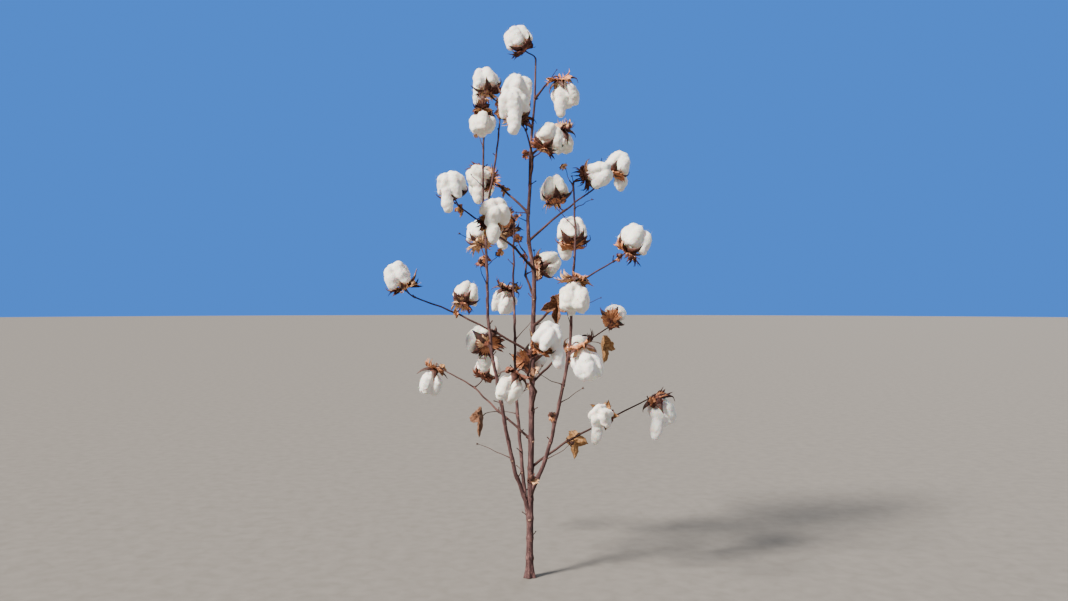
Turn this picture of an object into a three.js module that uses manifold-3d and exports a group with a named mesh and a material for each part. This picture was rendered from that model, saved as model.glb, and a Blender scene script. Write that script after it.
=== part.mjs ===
// An upland cotton plant ready for picking. Its leaves are shed and its bolls have burst into white lint.
// Millimetres, +Z up. The origin is the middle of the flat cut through the main stem at ground level.
// +X is to the right, and +Y is away from somebody who looks at the plant from its front.
import * as THREE from "three";
import { mergeVertices } from "three/addons/utils/BufferGeometryUtils.js";
import Module from "manifold-3d";

const wasm = await Module();
wasm.setup();

// Every chance below follows from this seed, from the number of the property that is left to chance, and
// from the number of the piece. Each boll and leaf has ten numbers for its own locks, valves or lobes.
const SEED = 48;
const KEYS_EACH = 10;
const PROPERTY = {
  branchAzimuth: 1, branchRise: 2, branchLength: 3, bareJoint: 4,
  bollPose: 5, axisAzimuth: 6, axisRise: 7, bollSize: 8, stringing: 9, lockCount: 10, bollTurn: 11,
  lockPuff: 12, valveReach: 13, valveRise: 14, bractDroop: 15,
  leafStalk: 21, leafStalkDrop: 22, lobeLength: 23, leafCrumple: 24,
};
const EITHER_WAY = [-1, 1];

// The main stem, and how far it sways to the right and to the back at even steps of its height.
const STEM_HEIGHT = 1225;
const STEM_FOOT_RADIUS = 8.5;
const STEM_TIP_RADIUS = 2.0;
const STEM_SLIMMING = 0.9;
const ROOT_FLARE = 4.0;
const ROOT_FLARE_HEIGHT = 20;
const FOOT_RINGS = [0, 12, 35, 80, 150];
const SWAY_RIGHT = [0, 1, 2, 4, 5, 7, 9, 11, -4, 1, 3, 12, 15];
const SWAY_BACK = [0, 3, 5, 4, 1, -2, -3, 0, 4, 6, 4, 1, 0];
const NODE_SWELL = 1.12;
const BELOW_NODE = 14;
const TOP_BOLL_AZIMUTH = 150;

// The side stems leave the main stem low down and grow up beside it. The left one forks.
const SIDE_STEMS = [
  { name: "side_stem_left", azimuth: 202, foot: 150, top: 1090, reach: 116, seats: [0.4, 0.64, 1] },
  { name: "side_stem_right", azimuth: 337, foot: 195, top: 925, reach: 112, seats: [0.48, 0.76, 1] },
  { name: "side_stem_back", azimuth: 112, foot: 112, top: 850, reach: 108, seats: [0.5, 0.78, 1] },
];
const SIDE_STEM_RADIUS = 5.2;
const SIDE_STEM_SWING = 3.2;
const SIDE_STEM_WAVER = 3;
const WAVER_PACE = 17;
const SIDE_STEM_RINGS = 11;
const FORK = { share: 0.75, elbow: [24, -16, 58], tip: [40, -24, 232], radius: 3.0, rings: 6, azimuth: 300 };

// The fruiting branches leave the main stem on a spiral of three turns to every eight nodes.
const BRANCH_COUNT = 14;
const FIRST_BRANCH = 258;
const LAST_BRANCH = 1132;
const SPIRAL_TURN = 135;
const AZIMUTH_SPREAD = 8;
const LONGEST_BRANCH = 330;
const BRANCH_SHORTENING = 0.82;
const SHORTENING_PACE = 2.2;
const LENGTH_SPREAD = 0.06;
const BRANCH_RADIUS = 3.1;
const TWIG_RADIUS = 1.6;
const KNUCKLE = 1.25;
const LOWEST_RISE = 31;
const HIGHEST_RISE = 42;
const RISE_SPREAD = 6;
const JOINT_DROOP = 5;
const ZIGZAG = 9;
const THREE_JOINTS = 235;
const TWO_JOINTS = 150;

// A boll at size 1. Its bur is a cup of four or five pointed valves, and the lint that stands in it is one
// puffed lock between each two valves. Three papery bracts lie under the cup, at the end of the stalk.
const BOLL_SIZES = [0.92, 1.12];
const SMALLEST_BOLL = 0.66;
const STALK_LENGTH = 42;
const LONG_STALK_LENGTH = 60;
const STALK_RADIUS = 1.5;
const STALK_ELBOW = 0.55;
const STALK_ENTRY = 9;
const HUB_SWELL = 2;
const FOUR_LOCK_ODDS = 0.5;
const LOCK_REACH = 36;
const LOCK_MIDDLE = 22;
const CREASE_REACH = 19;
const PUFF = [0.9, 1.08];
const LINT_FOOT = -2;
const LINT_UNDERSIDE = 9;
const LINT_MIDDLE = 29;
const LINT_HALF_HEIGHT = 31;
const DIMPLE = 0.7;
const SHOULDER = 1.35;
const LINT_SAG = 5;
const HANG_STRETCH = 0.15;
const VALVE_REACH = 41;
const VALVE_REACHES = [0.92, 1.04];
const VALVE_RISE = 24;
const VALVE_RISES = [0.7, 1.1];
const CUP_REACH = 15;
const CUP_RISE = 5;
const CUP_FLOOR = -3;
const CUP_HALF_THICKNESS = 2.5;
const CUP_TURN = 0.07;
const BRACT_TURN = 1;
const BRACT_REACH = 32;
const BRACT_NOTCH = 13;
const BRACT_DROOP = [-12, 1];
const BRACT_TOP = -1;
const BRACT_UNDERSIDE = -7;
const STRING_HALF_LENGTH = 30;
const STRING_RADIUS = 11;
const STRING_DROP = 28;
const STRING_ODDS = 0.35;

// The ways a boll can hang: how many of them do, the rise of its stalk, and the rise of its axis.
const POSES = [
  { odds: 0.44, stalkRise: 28, axisRise: [52, 74] },
  { odds: 0.22, stalkRise: 28, axisRise: [5, 28] },
  { odds: 0.34, stalkRise: 40, axisRise: [-74, -52] },
];
const AXIS_TWIST = [-20, 20];
const TWISTS = [62, 88, 35, 112, 0, -35, -62, -88];
const TIP_TWIST = 0.5;

// The balls of room that a boll, its lint alone and a strung-out lock take up, and the room at its hub.
// Rooms are told apart by whole steps, and the first of the roomiest places is taken.
const ROOM_STEP = 0.1;
const BOLL_MIDDLE = 20;
const BOLL_REACH = 46;
const LINT_REACH = 40;
const STRING_REACH = 28;
const HUB_CLEARANCE = 18;
const CLEAR_OF_GROUND = 90;

// A dead leaf hangs folded from its stalk. Its lobes are listed from the middle one to the base.
const LEAF_COUNT = 4;
const LEAF_CORNERS = 10;
const LEAF_LOBES = [54, 42, 26];
const LEAF_NOTCH = 21;
const LOBE_SPREAD = [0.85, 1.1];
const LEAF_HALF_THICKNESS = 1.2;
const LEAF_NARROWING = 0.75;
const LEAF_FOLD = 0.5;
const LEAF_CRUMPLE = [-5, 5];
const LEAF_MIDDLE = 20;
const LEAF_REACH = 38;
const LEAF_STALK = [30, 40];
const LEAF_STALK_DROP = [2, 12];
const LEAF_STALK_RADII = [1.6, 1.1, 1.4];
const LEAF_TWISTS = [90, -90, 60, -60, 120, -120, 150, -150];

// How finely each kind of shape is faced, and the gap that is kept between neighbours.
const STEM_SIDES = 8;
const BRANCH_SIDES = 6;
const TWIG_SIDES = 4;
const LINT_ROWS = 5;
const BRACT_CORNERS = 9;
const STRING_SIDES = 6;
const STRING_ROWS = 4;
const LEAF_ROWS = 4;
const GAP = 0.35;

const BARK = new THREE.MeshStandardMaterial({ color: "#4a2f2a", roughness: 0.85, metalness: 0 });
const LINT = new THREE.MeshStandardMaterial({ color: "#f3f0ea", roughness: 0.95, metalness: 0 });
const DRY_LEAF = new THREE.MeshStandardMaterial({ color: "#a0683c", roughness: 0.9, metalness: 0 });

const UP = new THREE.Vector3(0, 0, 1);
const FULL_TURN = 2 * Math.PI;

// A repeatable chance from 0 to 1 for one property of one piece, and the same spread between two values.
function chance(piece, property) {
  const wave = Math.sin(piece * 12.9898 + property * 78.233 + SEED) * 43758.5453;
  return wave - Math.floor(wave);
}

function between(piece, property, [low, high]) {
  return low + (high - low) * chance(piece, property);
}

function mix(a, b, share) {
  return a + (b - a) * share;
}

function evenShares(count) {
  return Array.from({ length: count }, (_, i) => i / (count - 1));
}

function along(origin, direction, distance) {
  return origin.clone().addScaledVector(direction, distance);
}

// A unit vector by its angle round the stem and its angle above level, both in degrees.
function heading(azimuth, rise) {
  const turn = THREE.MathUtils.degToRad(azimuth);
  const climb = THREE.MathUtils.degToRad(rise);
  const level = Math.cos(climb);
  return new THREE.Vector3(level * Math.cos(turn), level * Math.sin(turn), Math.sin(climb));
}

// Two unit vectors square to an axis and to each other, which turn round it as X and Y do round Z.
function crossAxes(axis) {
  const helper = Math.abs(axis.z) < 0.9 ? UP : new THREE.Vector3(1, 0, 0);
  const first = helper.clone().cross(axis).normalize();
  return [first, axis.clone().cross(first)];
}

// A smooth curve through even steps of values, read at a share of its length.
function smoothAt(values, share) {
  const last = values.length - 1;
  const step = Math.min(Math.floor(share * last), last - 1);
  const t = share * last - step;
  const [here, next] = [values[step], values[step + 1]];
  const slopeHere = (next - values[Math.max(step - 1, 0)]) / 2;
  const slopeNext = (values[Math.min(step + 2, last)] - here) / 2;
  const cubic = 2 * here - 2 * next + slopeHere + slopeNext;
  const square = 3 * next - 3 * here - 2 * slopeHere - slopeNext;
  return ((cubic * t + square) * t + slopeHere) * t + here;
}

function stemCentre(height) {
  const share = height / STEM_HEIGHT;
  return new THREE.Vector3(smoothAt(SWAY_RIGHT, share), smoothAt(SWAY_BACK, share), height);
}

function stemRadius(height) {
  const flare = ROOT_FLARE * Math.exp(-height / ROOT_FLARE_HEIGHT);
  return mix(STEM_TIP_RADIUS, STEM_FOOT_RADIUS, (1 - height / STEM_HEIGHT) ** STEM_SLIMMING) + flare;
}

function branchHeight(k) {
  return mix(FIRST_BRANCH, LAST_BRANCH, k / (BRANCH_COUNT - 1));
}

// A limb has points down its middle, a radius at each of them, and the seats that its bolls grow from.
function mainStem() {
  const nodes = Array.from({ length: BRANCH_COUNT }, (_, k) => branchHeight(k));
  const rings = [
    ...FOOT_RINGS.map((height) => ({ height, swell: 1 })),
    ...nodes.flatMap((height) => [{ height: height - BELOW_NODE, swell: 1 }, { height, swell: NODE_SWELL }]),
    { height: STEM_HEIGHT, swell: 1 },
  ];
  const points = rings.map(({ height }) => stemCentre(height));
  const radii = rings.map(({ height, swell }) => stemRadius(height) * swell);
  const tip = stemCentre(STEM_HEIGHT);
  const seats = [{ at: tip, azimuth: TOP_BOLL_AZIMUTH, stalk: STALK_LENGTH, atTip: true }];
  return { name: "main_stem", points, radii, seats, sides: STEM_SIDES, flatFoot: true };
}

function sideStemPoint({ azimuth, foot, top, reach }, share) {
  const waver = SIDE_STEM_WAVER * Math.sin(WAVER_PACE * share);
  const out = reach * (1 - (1 - share) ** SIDE_STEM_SWING) + waver;
  return along(stemCentre(foot), heading(azimuth, 0), out).addScaledVector(UP, (top - foot) * share);
}

function sideStem(plan) {
  const shares = evenShares(SIDE_STEM_RINGS);
  const points = shares.map((share) => sideStemPoint(plan, share));
  const radii = shares.map((share) => mix(SIDE_STEM_RADIUS, STEM_TIP_RADIUS, share ** STEM_SLIMMING));
  const seats = plan.seats.map((share, i) => ({
    at: sideStemPoint(plan, share),
    azimuth: plan.azimuth + (share < 1 ? SPIRAL_TURN * (i - 1) : 0),
    stalk: share < 1 ? LONG_STALK_LENGTH : STALK_LENGTH,
    atTip: share === 1,
  }));
  return { name: plan.name, points, radii, seats, sides: BRANCH_SIDES };
}

function sideStemFork(plan) {
  const from = sideStemPoint(plan, FORK.share);
  const elbow = from.clone().add(new THREE.Vector3(...FORK.elbow));
  const tip = from.clone().add(new THREE.Vector3(...FORK.tip));
  const curve = new THREE.QuadraticBezierCurve3(from, elbow, tip);
  const points = evenShares(FORK.rings).map((share) => curve.getPoint(share));
  const radii = evenShares(FORK.rings).map((share) => mix(FORK.radius, TWIG_RADIUS, share));
  const seats = [{ at: tip, azimuth: FORK.azimuth, stalk: STALK_LENGTH, atTip: true }];
  return { name: plan.name + "_fork", points, radii, seats, sides: BRANCH_SIDES };
}

// A fruiting branch zigzags from joint to joint. Each joint bears a boll, but a long branch has lost one.
function fruitingBranch(k) {
  const share = k / (BRANCH_COUNT - 1);
  const spread = (property) => between(k, property, EITHER_WAY);
  const azimuth = SPIRAL_TURN * k + AZIMUTH_SPREAD * spread(PROPERTY.branchAzimuth);
  const rise = mix(LOWEST_RISE, HIGHEST_RISE, share) + RISE_SPREAD * spread(PROPERTY.branchRise);
  const shortened = LONGEST_BRANCH * (1 - BRANCH_SHORTENING * share ** SHORTENING_PACE);
  const length = shortened * (1 + LENGTH_SPREAD * spread(PROPERTY.branchLength));
  const joints = length > THREE_JOINTS ? 3 : length > TWO_JOINTS ? 2 : 1;
  const bareJoint = joints === 3 ? 1 + Math.floor(2 * chance(k, PROPERTY.bareJoint)) : 0;
  const points = [stemCentre(branchHeight(k))];
  const radii = [BRANCH_RADIUS * KNUCKLE];
  const seats = [];
  const bareSeats = [];
  for (let joint = 1; joint <= joints; joint++) {
    const side = joint % 2 ? 1 : -1;
    const way = heading(azimuth + side * ZIGZAG, rise - JOINT_DROOP * (joint - 1));
    const from = points[points.length - 1];
    const at = along(from, way, length / joints);
    points.push(along(from, way, length / joints / 2), at);
    radii.push(mix(BRANCH_RADIUS, TWIG_RADIUS, (joint - 0.5) / joints));
    radii.push(mix(BRANCH_RADIUS, TWIG_RADIUS, joint / joints) * (joint < joints ? KNUCKLE : 1));
    const seat = { at, azimuth: azimuth + side * ZIGZAG, side, stalk: STALK_LENGTH, atTip: joint === joints };
    (joint === bareJoint ? bareSeats : seats).push(seat);
  }
  const name = "fruiting_branch_" + String(k + 1).padStart(2, "0");
  return { name, points, radii, seats, bareSeats, sides: BRANCH_SIDES };
}

// The free room round a ball that would stand among the limbs and the balls of what is already placed.
function distanceToLimb(point, { points, radii }) {
  const segment = new THREE.Line3();
  const nearest = new THREE.Vector3();
  let least = Infinity;
  for (let i = 1; i < points.length; i++) {
    segment.set(points[i - 1], points[i]).closestPointToPoint(point, true, nearest);
    least = Math.min(least, nearest.distanceTo(point) - Math.max(radii[i - 1], radii[i]));
  }
  return least;
}

function roomAmongLimbs(at, radius, limbs) {
  return Math.min(...limbs.map((limb) => distanceToLimb(at, limb))) - radius;
}

function roomAmongBalls(at, radius, placed) {
  const balls = placed.flatMap((piece) => piece.balls);
  return Math.min(...balls.map((ball) => ball.at.distanceTo(at) - ball.radius)) - radius;
}

function roomiest(trials, limbs, placed) {
  const exact = trials.map(({ hub, heart, balls: [{ at, radius }] }) => Math.min(
    at.z - radius - CLEAR_OF_GROUND,
    roomAmongLimbs(heart.at, heart.radius, limbs),
    roomAmongLimbs(hub, HUB_CLEARANCE, limbs),
    roomAmongBalls(at, radius, placed),
  ));
  const rooms = exact.map((room) => Math.floor(room / ROOM_STEP) * ROOM_STEP);
  const best = rooms.indexOf(Math.max(...rooms));
  return { ...trials[best], room: rooms[best] };
}

// One way to hang a boll at a seat: its stalk sets off, bends, and ends in the hub that the axis starts from.
function bollTrial(id, seat, size, twist) {
  const draw = chance(id, PROPERTY.bollPose);
  const pose = draw < POSES[0].odds ? POSES[0] : draw < POSES[0].odds + POSES[1].odds ? POSES[1] : POSES[2];
  const azimuth = seat.azimuth + (seat.atTip ? TIP_TWIST : 1) * (seat.side ?? 1) * twist;
  const elbow = along(seat.at, heading(azimuth, pose.stalkRise), seat.stalk * STALK_ELBOW);
  const axisAzimuth = azimuth + between(id, PROPERTY.axisAzimuth, AXIS_TWIST);
  const axis = heading(axisAzimuth, between(id, PROPERTY.axisRise, pose.axisRise));
  const hub = along(elbow, axis, seat.stalk * (1 - STALK_ELBOW));
  const heart = { at: along(hub, axis, LINT_MIDDLE * size), radius: LINT_REACH * size };
  const balls = [{ at: along(hub, axis, BOLL_MIDDLE * size), radius: BOLL_REACH * size }];
  return { id, seat, elbow, axis, hub, heart, balls };
}

// Where there is room below it, the lowest lock has strung out. It hangs from the middle of its place.
function lowestLock({ hub, axis, size, locks, turn }) {
  const [first, second] = crossAxes(axis);
  const middles = Array.from({ length: locks }, (_, i) => {
    const angle = turn + (FULL_TURN * (i + 0.5)) / locks;
    return along(hub, axis, LINT_MIDDLE * size)
      .addScaledVector(first, LOCK_MIDDLE * size * Math.cos(angle))
      .addScaledVector(second, LOCK_MIDDLE * size * Math.sin(angle));
  });
  return middles.reduce((lowest, middle) => (middle.z < lowest.z ? middle : lowest));
}

function withString(boll, limbs, placed) {
  const string = along(lowestLock(boll), UP, -STRING_DROP * boll.size);
  const radius = STRING_REACH * boll.size;
  const room = Math.min(roomAmongLimbs(string, radius, limbs), roomAmongBalls(string, radius, placed));
  if (room < 0 || chance(boll.id, PROPERTY.stringing) > STRING_ODDS) return boll;
  return { ...boll, string, balls: [...boll.balls, { at: string, radius }] };
}

// Every seat gets its boll, turned to where it has the most room and made smaller if it still has too little.
function placeBolls(limbs) {
  const placed = [];
  limbs.flatMap((limb) => limb.seats).forEach((seat, id) => {
    const wish = between(id, PROPERTY.bollSize, BOLL_SIZES);
    const best = roomiest(TWISTS.map((twist) => bollTrial(id, seat, wish, twist)), limbs, placed);
    const fit = Math.min(1, 1 + best.room / best.balls[0].radius);
    if (wish * fit < SMALLEST_BOLL) return;
    const balls = [{ at: best.balls[0].at, radius: best.balls[0].radius * fit }];
    const locks = chance(id, PROPERTY.lockCount) < FOUR_LOCK_ODDS ? 4 : 5;
    const turn = FULL_TURN * chance(id, PROPERTY.bollTurn);
    placed.push(withString({ ...best, balls, size: wish * fit, locks, turn }, limbs, placed));
  });
  return placed;
}

// A dead leaf hangs at each joint that has lost its boll, where there is room for it.
function placeLeaves(limbs, bolls) {
  const placed = [];
  limbs.flatMap((limb) => limb.bareSeats ?? []).forEach((seat, id) => {
    const trials = LEAF_TWISTS.map((twist) => {
      const out = heading(seat.azimuth + twist, 0);
      const drop = between(id, PROPERTY.leafStalkDrop, LEAF_STALK_DROP);
      const hub = along(seat.at, out, between(id, PROPERTY.leafStalk, LEAF_STALK)).addScaledVector(UP, -drop);
      const ball = { at: along(hub, UP, -LEAF_MIDDLE), radius: LEAF_REACH };
      return { id, seat, out, hub, heart: ball, balls: [ball] };
    });
    const best = roomiest(trials, limbs, [...bolls, ...placed]);
    if (best.room > 0 && placed.length < LEAF_COUNT) placed.push(best);
  });
  return placed;
}

// The solids. Every shape starts as one of three.js's own, and its vertices are moved into place.
function solidOf(geometry) {
  geometry.deleteAttribute("normal");
  geometry.deleteAttribute("uv");
  const merged = mergeVertices(geometry);
  return new wasm.Manifold(new wasm.Mesh({
    numProp: 3,
    vertProperties: new Float32Array(merged.attributes.position.array),
    triVerts: new Uint32Array(merged.index.array),
  }));
}

function moved(geometry, place) {
  const position = geometry.attributes.position;
  for (let i = 0; i < position.count; i++) {
    const { x, y, z } = place(position.getX(i), position.getY(i), position.getZ(i));
    position.setXYZ(i, x, y, z);
  }
  return solidOf(geometry);
}

// A tapering round limb through its points. The cutter for its neighbours is the same limb with a gap added.
function limbSolid({ points, radii, sides, flatFoot }, gap = 0) {
  const last = points.length - 1;
  const ways = points.map((_, i) =>
    points[Math.min(i + 1, last)].clone().sub(points[Math.max(i - 1, 0)]).normalize());
  if (flatFoot) ways[0] = UP;
  let [across] = crossAxes(ways[0]);
  const sections = ways.map((way) => {
    across = across.clone().addScaledVector(way, -across.dot(way)).normalize();
    return { way, first: across, second: across.clone().cross(way) };
  });
  return moved(new THREE.CylinderGeometry(1, 1, 2, sides, last), (x, y, z) => {
    const i = Math.round(((y + 1) / 2) * last);
    const { way, first, second } = sections[i];
    const overrun = i === 0 ? -gap : i === last ? gap : 0;
    return along(points[i], way, overrun)
      .addScaledVector(first, x * (radii[i] + gap))
      .addScaledVector(second, z * (radii[i] + gap));
  });
}

// Which of a sphere's corners a vertex stands at, counted round its axis.
function cornerOf(x, z, sides) {
  return (Math.round((Math.atan2(z, -x) / FULL_TURN) * sides) + sides) % sides;
}

// A closed body round an axis, made from a sphere. shape() places each vertex by its corner round the axis,
// by how far out it is, from 0 at a pole to 1 at the rim, and by its level, from 1 at the top to -1.
// It returns the distance out from the axis, the distance up along it, and how far the vertex sags.
function roundBody({ hub, axis, turn, size }, sides, rows, shape) {
  const [first, second] = crossAxes(axis);
  return moved(new THREE.SphereGeometry(1, sides, rows), (x, y, z) => {
    const corner = cornerOf(x, z, sides);
    const angle = turn + (FULL_TURN * corner) / sides;
    const [outward, upward, sag = 0] = shape(corner, Math.hypot(x, z), y);
    return along(hub, axis, upward * size)
      .addScaledVector(first, outward * size * Math.cos(angle))
      .addScaledVector(second, outward * size * Math.sin(angle))
      .addScaledVector(UP, -sag * size);
  });
}

// The lint has three corners to a lock: one in the crease before it, and two that make it broad. Its poles
// are a dimple on top and a foot in the cup. It is drawn out a little where it hangs.
function lintSolid(boll) {
  const stretch = 1 + HANG_STRETCH * Math.max(0, -boll.axis.z);
  return roundBody(boll, 3 * boll.locks, LINT_ROWS, (corner, out, level) => {
    const puff = between(boll.id * KEYS_EACH + Math.floor(corner / 3), PROPERTY.lockPuff, PUFF);
    const outward = (corner % 3 ? LOCK_REACH * puff : CREASE_REACH) * out;
    const crown = LINT_MIDDLE + LINT_HALF_HEIGHT * level * mix(DIMPLE, SHOULDER, out);
    const base = mix(out > 0.1 ? LINT_UNDERSIDE : LINT_FOOT, LINT_MIDDLE, out ** 2);
    return [outward, (level > 0 ? crown : base) * stretch, LINT_SAG * out ** 2];
  });
}

// The bur has two corners to a valve: its point, which lies in a crease of the lint, and the web beside it.
function burSolid(boll) {
  return roundBody({ ...boll, turn: boll.turn + CUP_TURN }, 2 * boll.locks, 2, (corner, out, level) => {
    const key = boll.id * KEYS_EACH + corner;
    const reach = corner % 2 ? CUP_REACH : VALVE_REACH * between(key, PROPERTY.valveReach, VALVE_REACHES);
    const rise = corner % 2 ? CUP_RISE : VALVE_RISE * between(key, PROPERTY.valveRise, VALVE_RISES);
    return [reach * out, CUP_FLOOR + rise * out + CUP_HALF_THICKNESS * level];
  });
}

// The bracts have three corners each: a notch and the two corners of a broad end.
function bractSolid(boll) {
  return roundBody({ ...boll, turn: boll.turn + BRACT_TURN }, BRACT_CORNERS, 2, (corner, out, level) => {
    const key = boll.id * KEYS_EACH + Math.floor(corner / 3);
    const droop = between(key, PROPERTY.bractDroop, BRACT_DROOP);
    const outward = (corner % 3 ? BRACT_REACH : BRACT_NOTCH) * out;
    const middle = level > 0 ? BRACT_TOP : BRACT_UNDERSIDE;
    return [outward, mix(middle, corner % 3 ? droop : BRACT_UNDERSIDE, out)];
  });
}

// The stalk swells into the hub, where the bracts, the bur and the lint meet.
function stalkSolid({ seat, elbow, hub, axis }) {
  const curve = new THREE.QuadraticBezierCurve3(seat.at, elbow, hub);
  const entry = along(hub, axis, -STALK_ENTRY);
  const end = along(hub, axis, CUP_FLOOR);
  const points = [seat.at, curve.getPoint(0.5), entry, end];
  const radii = [KNUCKLE, 1, KNUCKLE, HUB_SWELL].map((swell) => STALK_RADIUS * swell);
  return limbSolid({ points, radii, sides: TWIG_SIDES });
}

function stringSolid({ string, size }) {
  return moved(new THREE.SphereGeometry(1, STRING_SIDES, STRING_ROWS), (x, y, z) => new THREE.Vector3(
    string.x - x * STRING_RADIUS * size,
    string.y + z * STRING_RADIUS * size,
    string.z + y * STRING_HALF_LENGTH * size,
  ));
}

function bollSolid(boll) {
  const solids = [lintSolid(boll), burSolid(boll), bractSolid(boll), stalkSolid(boll)];
  if (boll.string) solids.push(stringSolid(boll));
  return solids.reduce((whole, solid) => whole.add(solid));
}

// The blade of a dead leaf hangs from the end of its stalk, with its halves folded towards each other.
function leafBlade({ id, out, hub }) {
  const side = UP.clone().cross(out);
  return moved(new THREE.SphereGeometry(1, LEAF_CORNERS, LEAF_ROWS), (x, y, z) => {
    const corner = cornerOf(x, z, LEAF_CORNERS);
    const key = id * KEYS_EACH + corner;
    const lobe = Math.min(corner, LEAF_CORNERS - corner) / 2;
    const length = between(key, PROPERTY.lobeLength, LOBE_SPREAD);
    const reach = corner % 2 ? LEAF_NOTCH : LEAF_LOBES[lobe] * length;
    const share = Math.hypot(x, z);
    const angle = (FULL_TURN * corner) / LEAF_CORNERS;
    const across = reach * share * Math.sin(angle);
    const crumple = between(key, PROPERTY.leafCrumple, LEAF_CRUMPLE);
    const lift = LEAF_FOLD * Math.abs(across) + crumple * share;
    return along(hub, UP, -reach * share * Math.cos(angle))
      .addScaledVector(side, across * LEAF_NARROWING)
      .addScaledVector(out, lift + y * LEAF_HALF_THICKNESS);
  });
}

function leafSolid(leaf) {
  const sill = new THREE.Vector3(leaf.hub.x, leaf.hub.y, leaf.seat.at.z);
  const curve = new THREE.QuadraticBezierCurve3(leaf.seat.at, sill, leaf.hub);
  const points = evenShares(3).map((share) => curve.getPoint(share));
  return leafBlade(leaf).add(limbSolid({ points, radii: LEAF_STALK_RADII, sides: TWIG_SIDES }));
}

// Each limb is cut clear of those that carry it, and each boll and leaf clear of every limb near it.
function boxOf(solid) {
  const { min, max } = solid.boundingBox();
  return new THREE.Box3(new THREE.Vector3(...min), new THREE.Vector3(...max));
}

function clearOf(cutters, solid) {
  const box = boxOf(solid);
  const cut = cutters.filter((cutter) => cutter.box.intersectsBox(box))
    .reduce((left, cutter) => left.subtract(cutter.solid), solid);
  return cut.decompose().reduce((largest, piece) => (piece.volume() > largest.volume() ? piece : largest));
}

function meshOf(name, solid, material) {
  const { vertProperties, triVerts } = solid.getMesh();
  const geometry = new THREE.BufferGeometry();
  geometry.setAttribute("position", new THREE.BufferAttribute(vertProperties, 3));
  geometry.setIndex(new THREE.BufferAttribute(triVerts, 1));
  const mesh = new THREE.Mesh(geometry, material);
  mesh.name = name;
  return mesh;
}

const limbs = [
  mainStem(),
  ...SIDE_STEMS.map(sideStem),
  sideStemFork(SIDE_STEMS[0]),
  ...Array.from({ length: BRANCH_COUNT }, (_, k) => fruitingBranch(k)),
];
const bolls = placeBolls(limbs);
const leaves = placeLeaves(limbs, bolls);

const plant = new THREE.Group();
const cutters = [];
for (const limb of limbs) {
  plant.add(meshOf(limb.name, clearOf(cutters, limbSolid(limb)), BARK));
  const cutter = limbSolid(limb, GAP);
  cutters.push({ solid: cutter, box: boxOf(cutter) });
}
bolls.forEach((boll, i) => {
  plant.add(meshOf("boll_" + String(i + 1).padStart(2, "0"), clearOf(cutters, bollSolid(boll)), LINT));
});
leaves.forEach((leaf, i) => {
  plant.add(meshOf("dry_leaf_" + (i + 1), clearOf(cutters, leafSolid(leaf)), DRY_LEAF));
});

export default plant;
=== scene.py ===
# %% [markdown]
# # An upland cotton plant, ready for picking
# The plant is a bare woody stem with side stems and fruiting branches. Its leaves are shed, and its bolls
# have burst into white lint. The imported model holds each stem, branch and boll as a plain solid. This
# lesson grows the real surfaces on that frame: bark, stalks, burs, bracts, lint and a few dead leaves.
#
# The first cell loads the frame. Its nodes give the space that each finished piece has to keep to.

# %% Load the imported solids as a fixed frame
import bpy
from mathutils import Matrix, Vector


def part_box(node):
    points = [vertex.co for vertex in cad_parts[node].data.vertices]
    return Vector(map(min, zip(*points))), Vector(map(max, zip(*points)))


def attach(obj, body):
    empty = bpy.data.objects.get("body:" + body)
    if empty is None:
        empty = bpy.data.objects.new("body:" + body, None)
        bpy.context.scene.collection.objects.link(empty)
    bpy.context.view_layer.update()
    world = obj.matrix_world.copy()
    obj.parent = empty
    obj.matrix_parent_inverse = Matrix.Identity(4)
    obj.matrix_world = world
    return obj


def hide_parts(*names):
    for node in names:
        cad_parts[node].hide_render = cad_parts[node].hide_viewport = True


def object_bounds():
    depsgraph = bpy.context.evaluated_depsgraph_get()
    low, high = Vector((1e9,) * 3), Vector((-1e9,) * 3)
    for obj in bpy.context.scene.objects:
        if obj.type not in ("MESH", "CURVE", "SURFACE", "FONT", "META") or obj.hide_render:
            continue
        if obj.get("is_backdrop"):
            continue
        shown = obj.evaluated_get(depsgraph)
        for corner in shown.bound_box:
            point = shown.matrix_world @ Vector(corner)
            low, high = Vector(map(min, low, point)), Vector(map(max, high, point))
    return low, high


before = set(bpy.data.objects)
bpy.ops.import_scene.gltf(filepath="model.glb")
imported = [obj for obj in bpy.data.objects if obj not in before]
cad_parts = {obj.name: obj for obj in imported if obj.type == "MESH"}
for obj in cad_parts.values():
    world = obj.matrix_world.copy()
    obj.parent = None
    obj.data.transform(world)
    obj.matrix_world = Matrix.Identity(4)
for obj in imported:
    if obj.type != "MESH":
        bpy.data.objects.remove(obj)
cad_low, cad_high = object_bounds()
print("the solids reach from", tuple(cad_low), "to", tuple(cad_high))

# %% Bring in what the later cells need
import math
from types import SimpleNamespace

import bmesh
import bpy
import numpy as np
from mathutils import Vector, noise

# %% [markdown]
# ## Measures
# A plant is easier to think of in millimetres, and Blender counts in metres. Every size below is in
# millimetres until a mesh is made, and one factor turns it into metres there.
#
# Nothing here is drawn from a list of points. A limb is a rule, and so is the place of a boll. Chance is
# seeded, so that the plant is the same one on every run. The traits that the solids share are drawn from a
# wave that any language can work out alike, and the finer ones from dice that are thrown anew for each piece.

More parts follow.
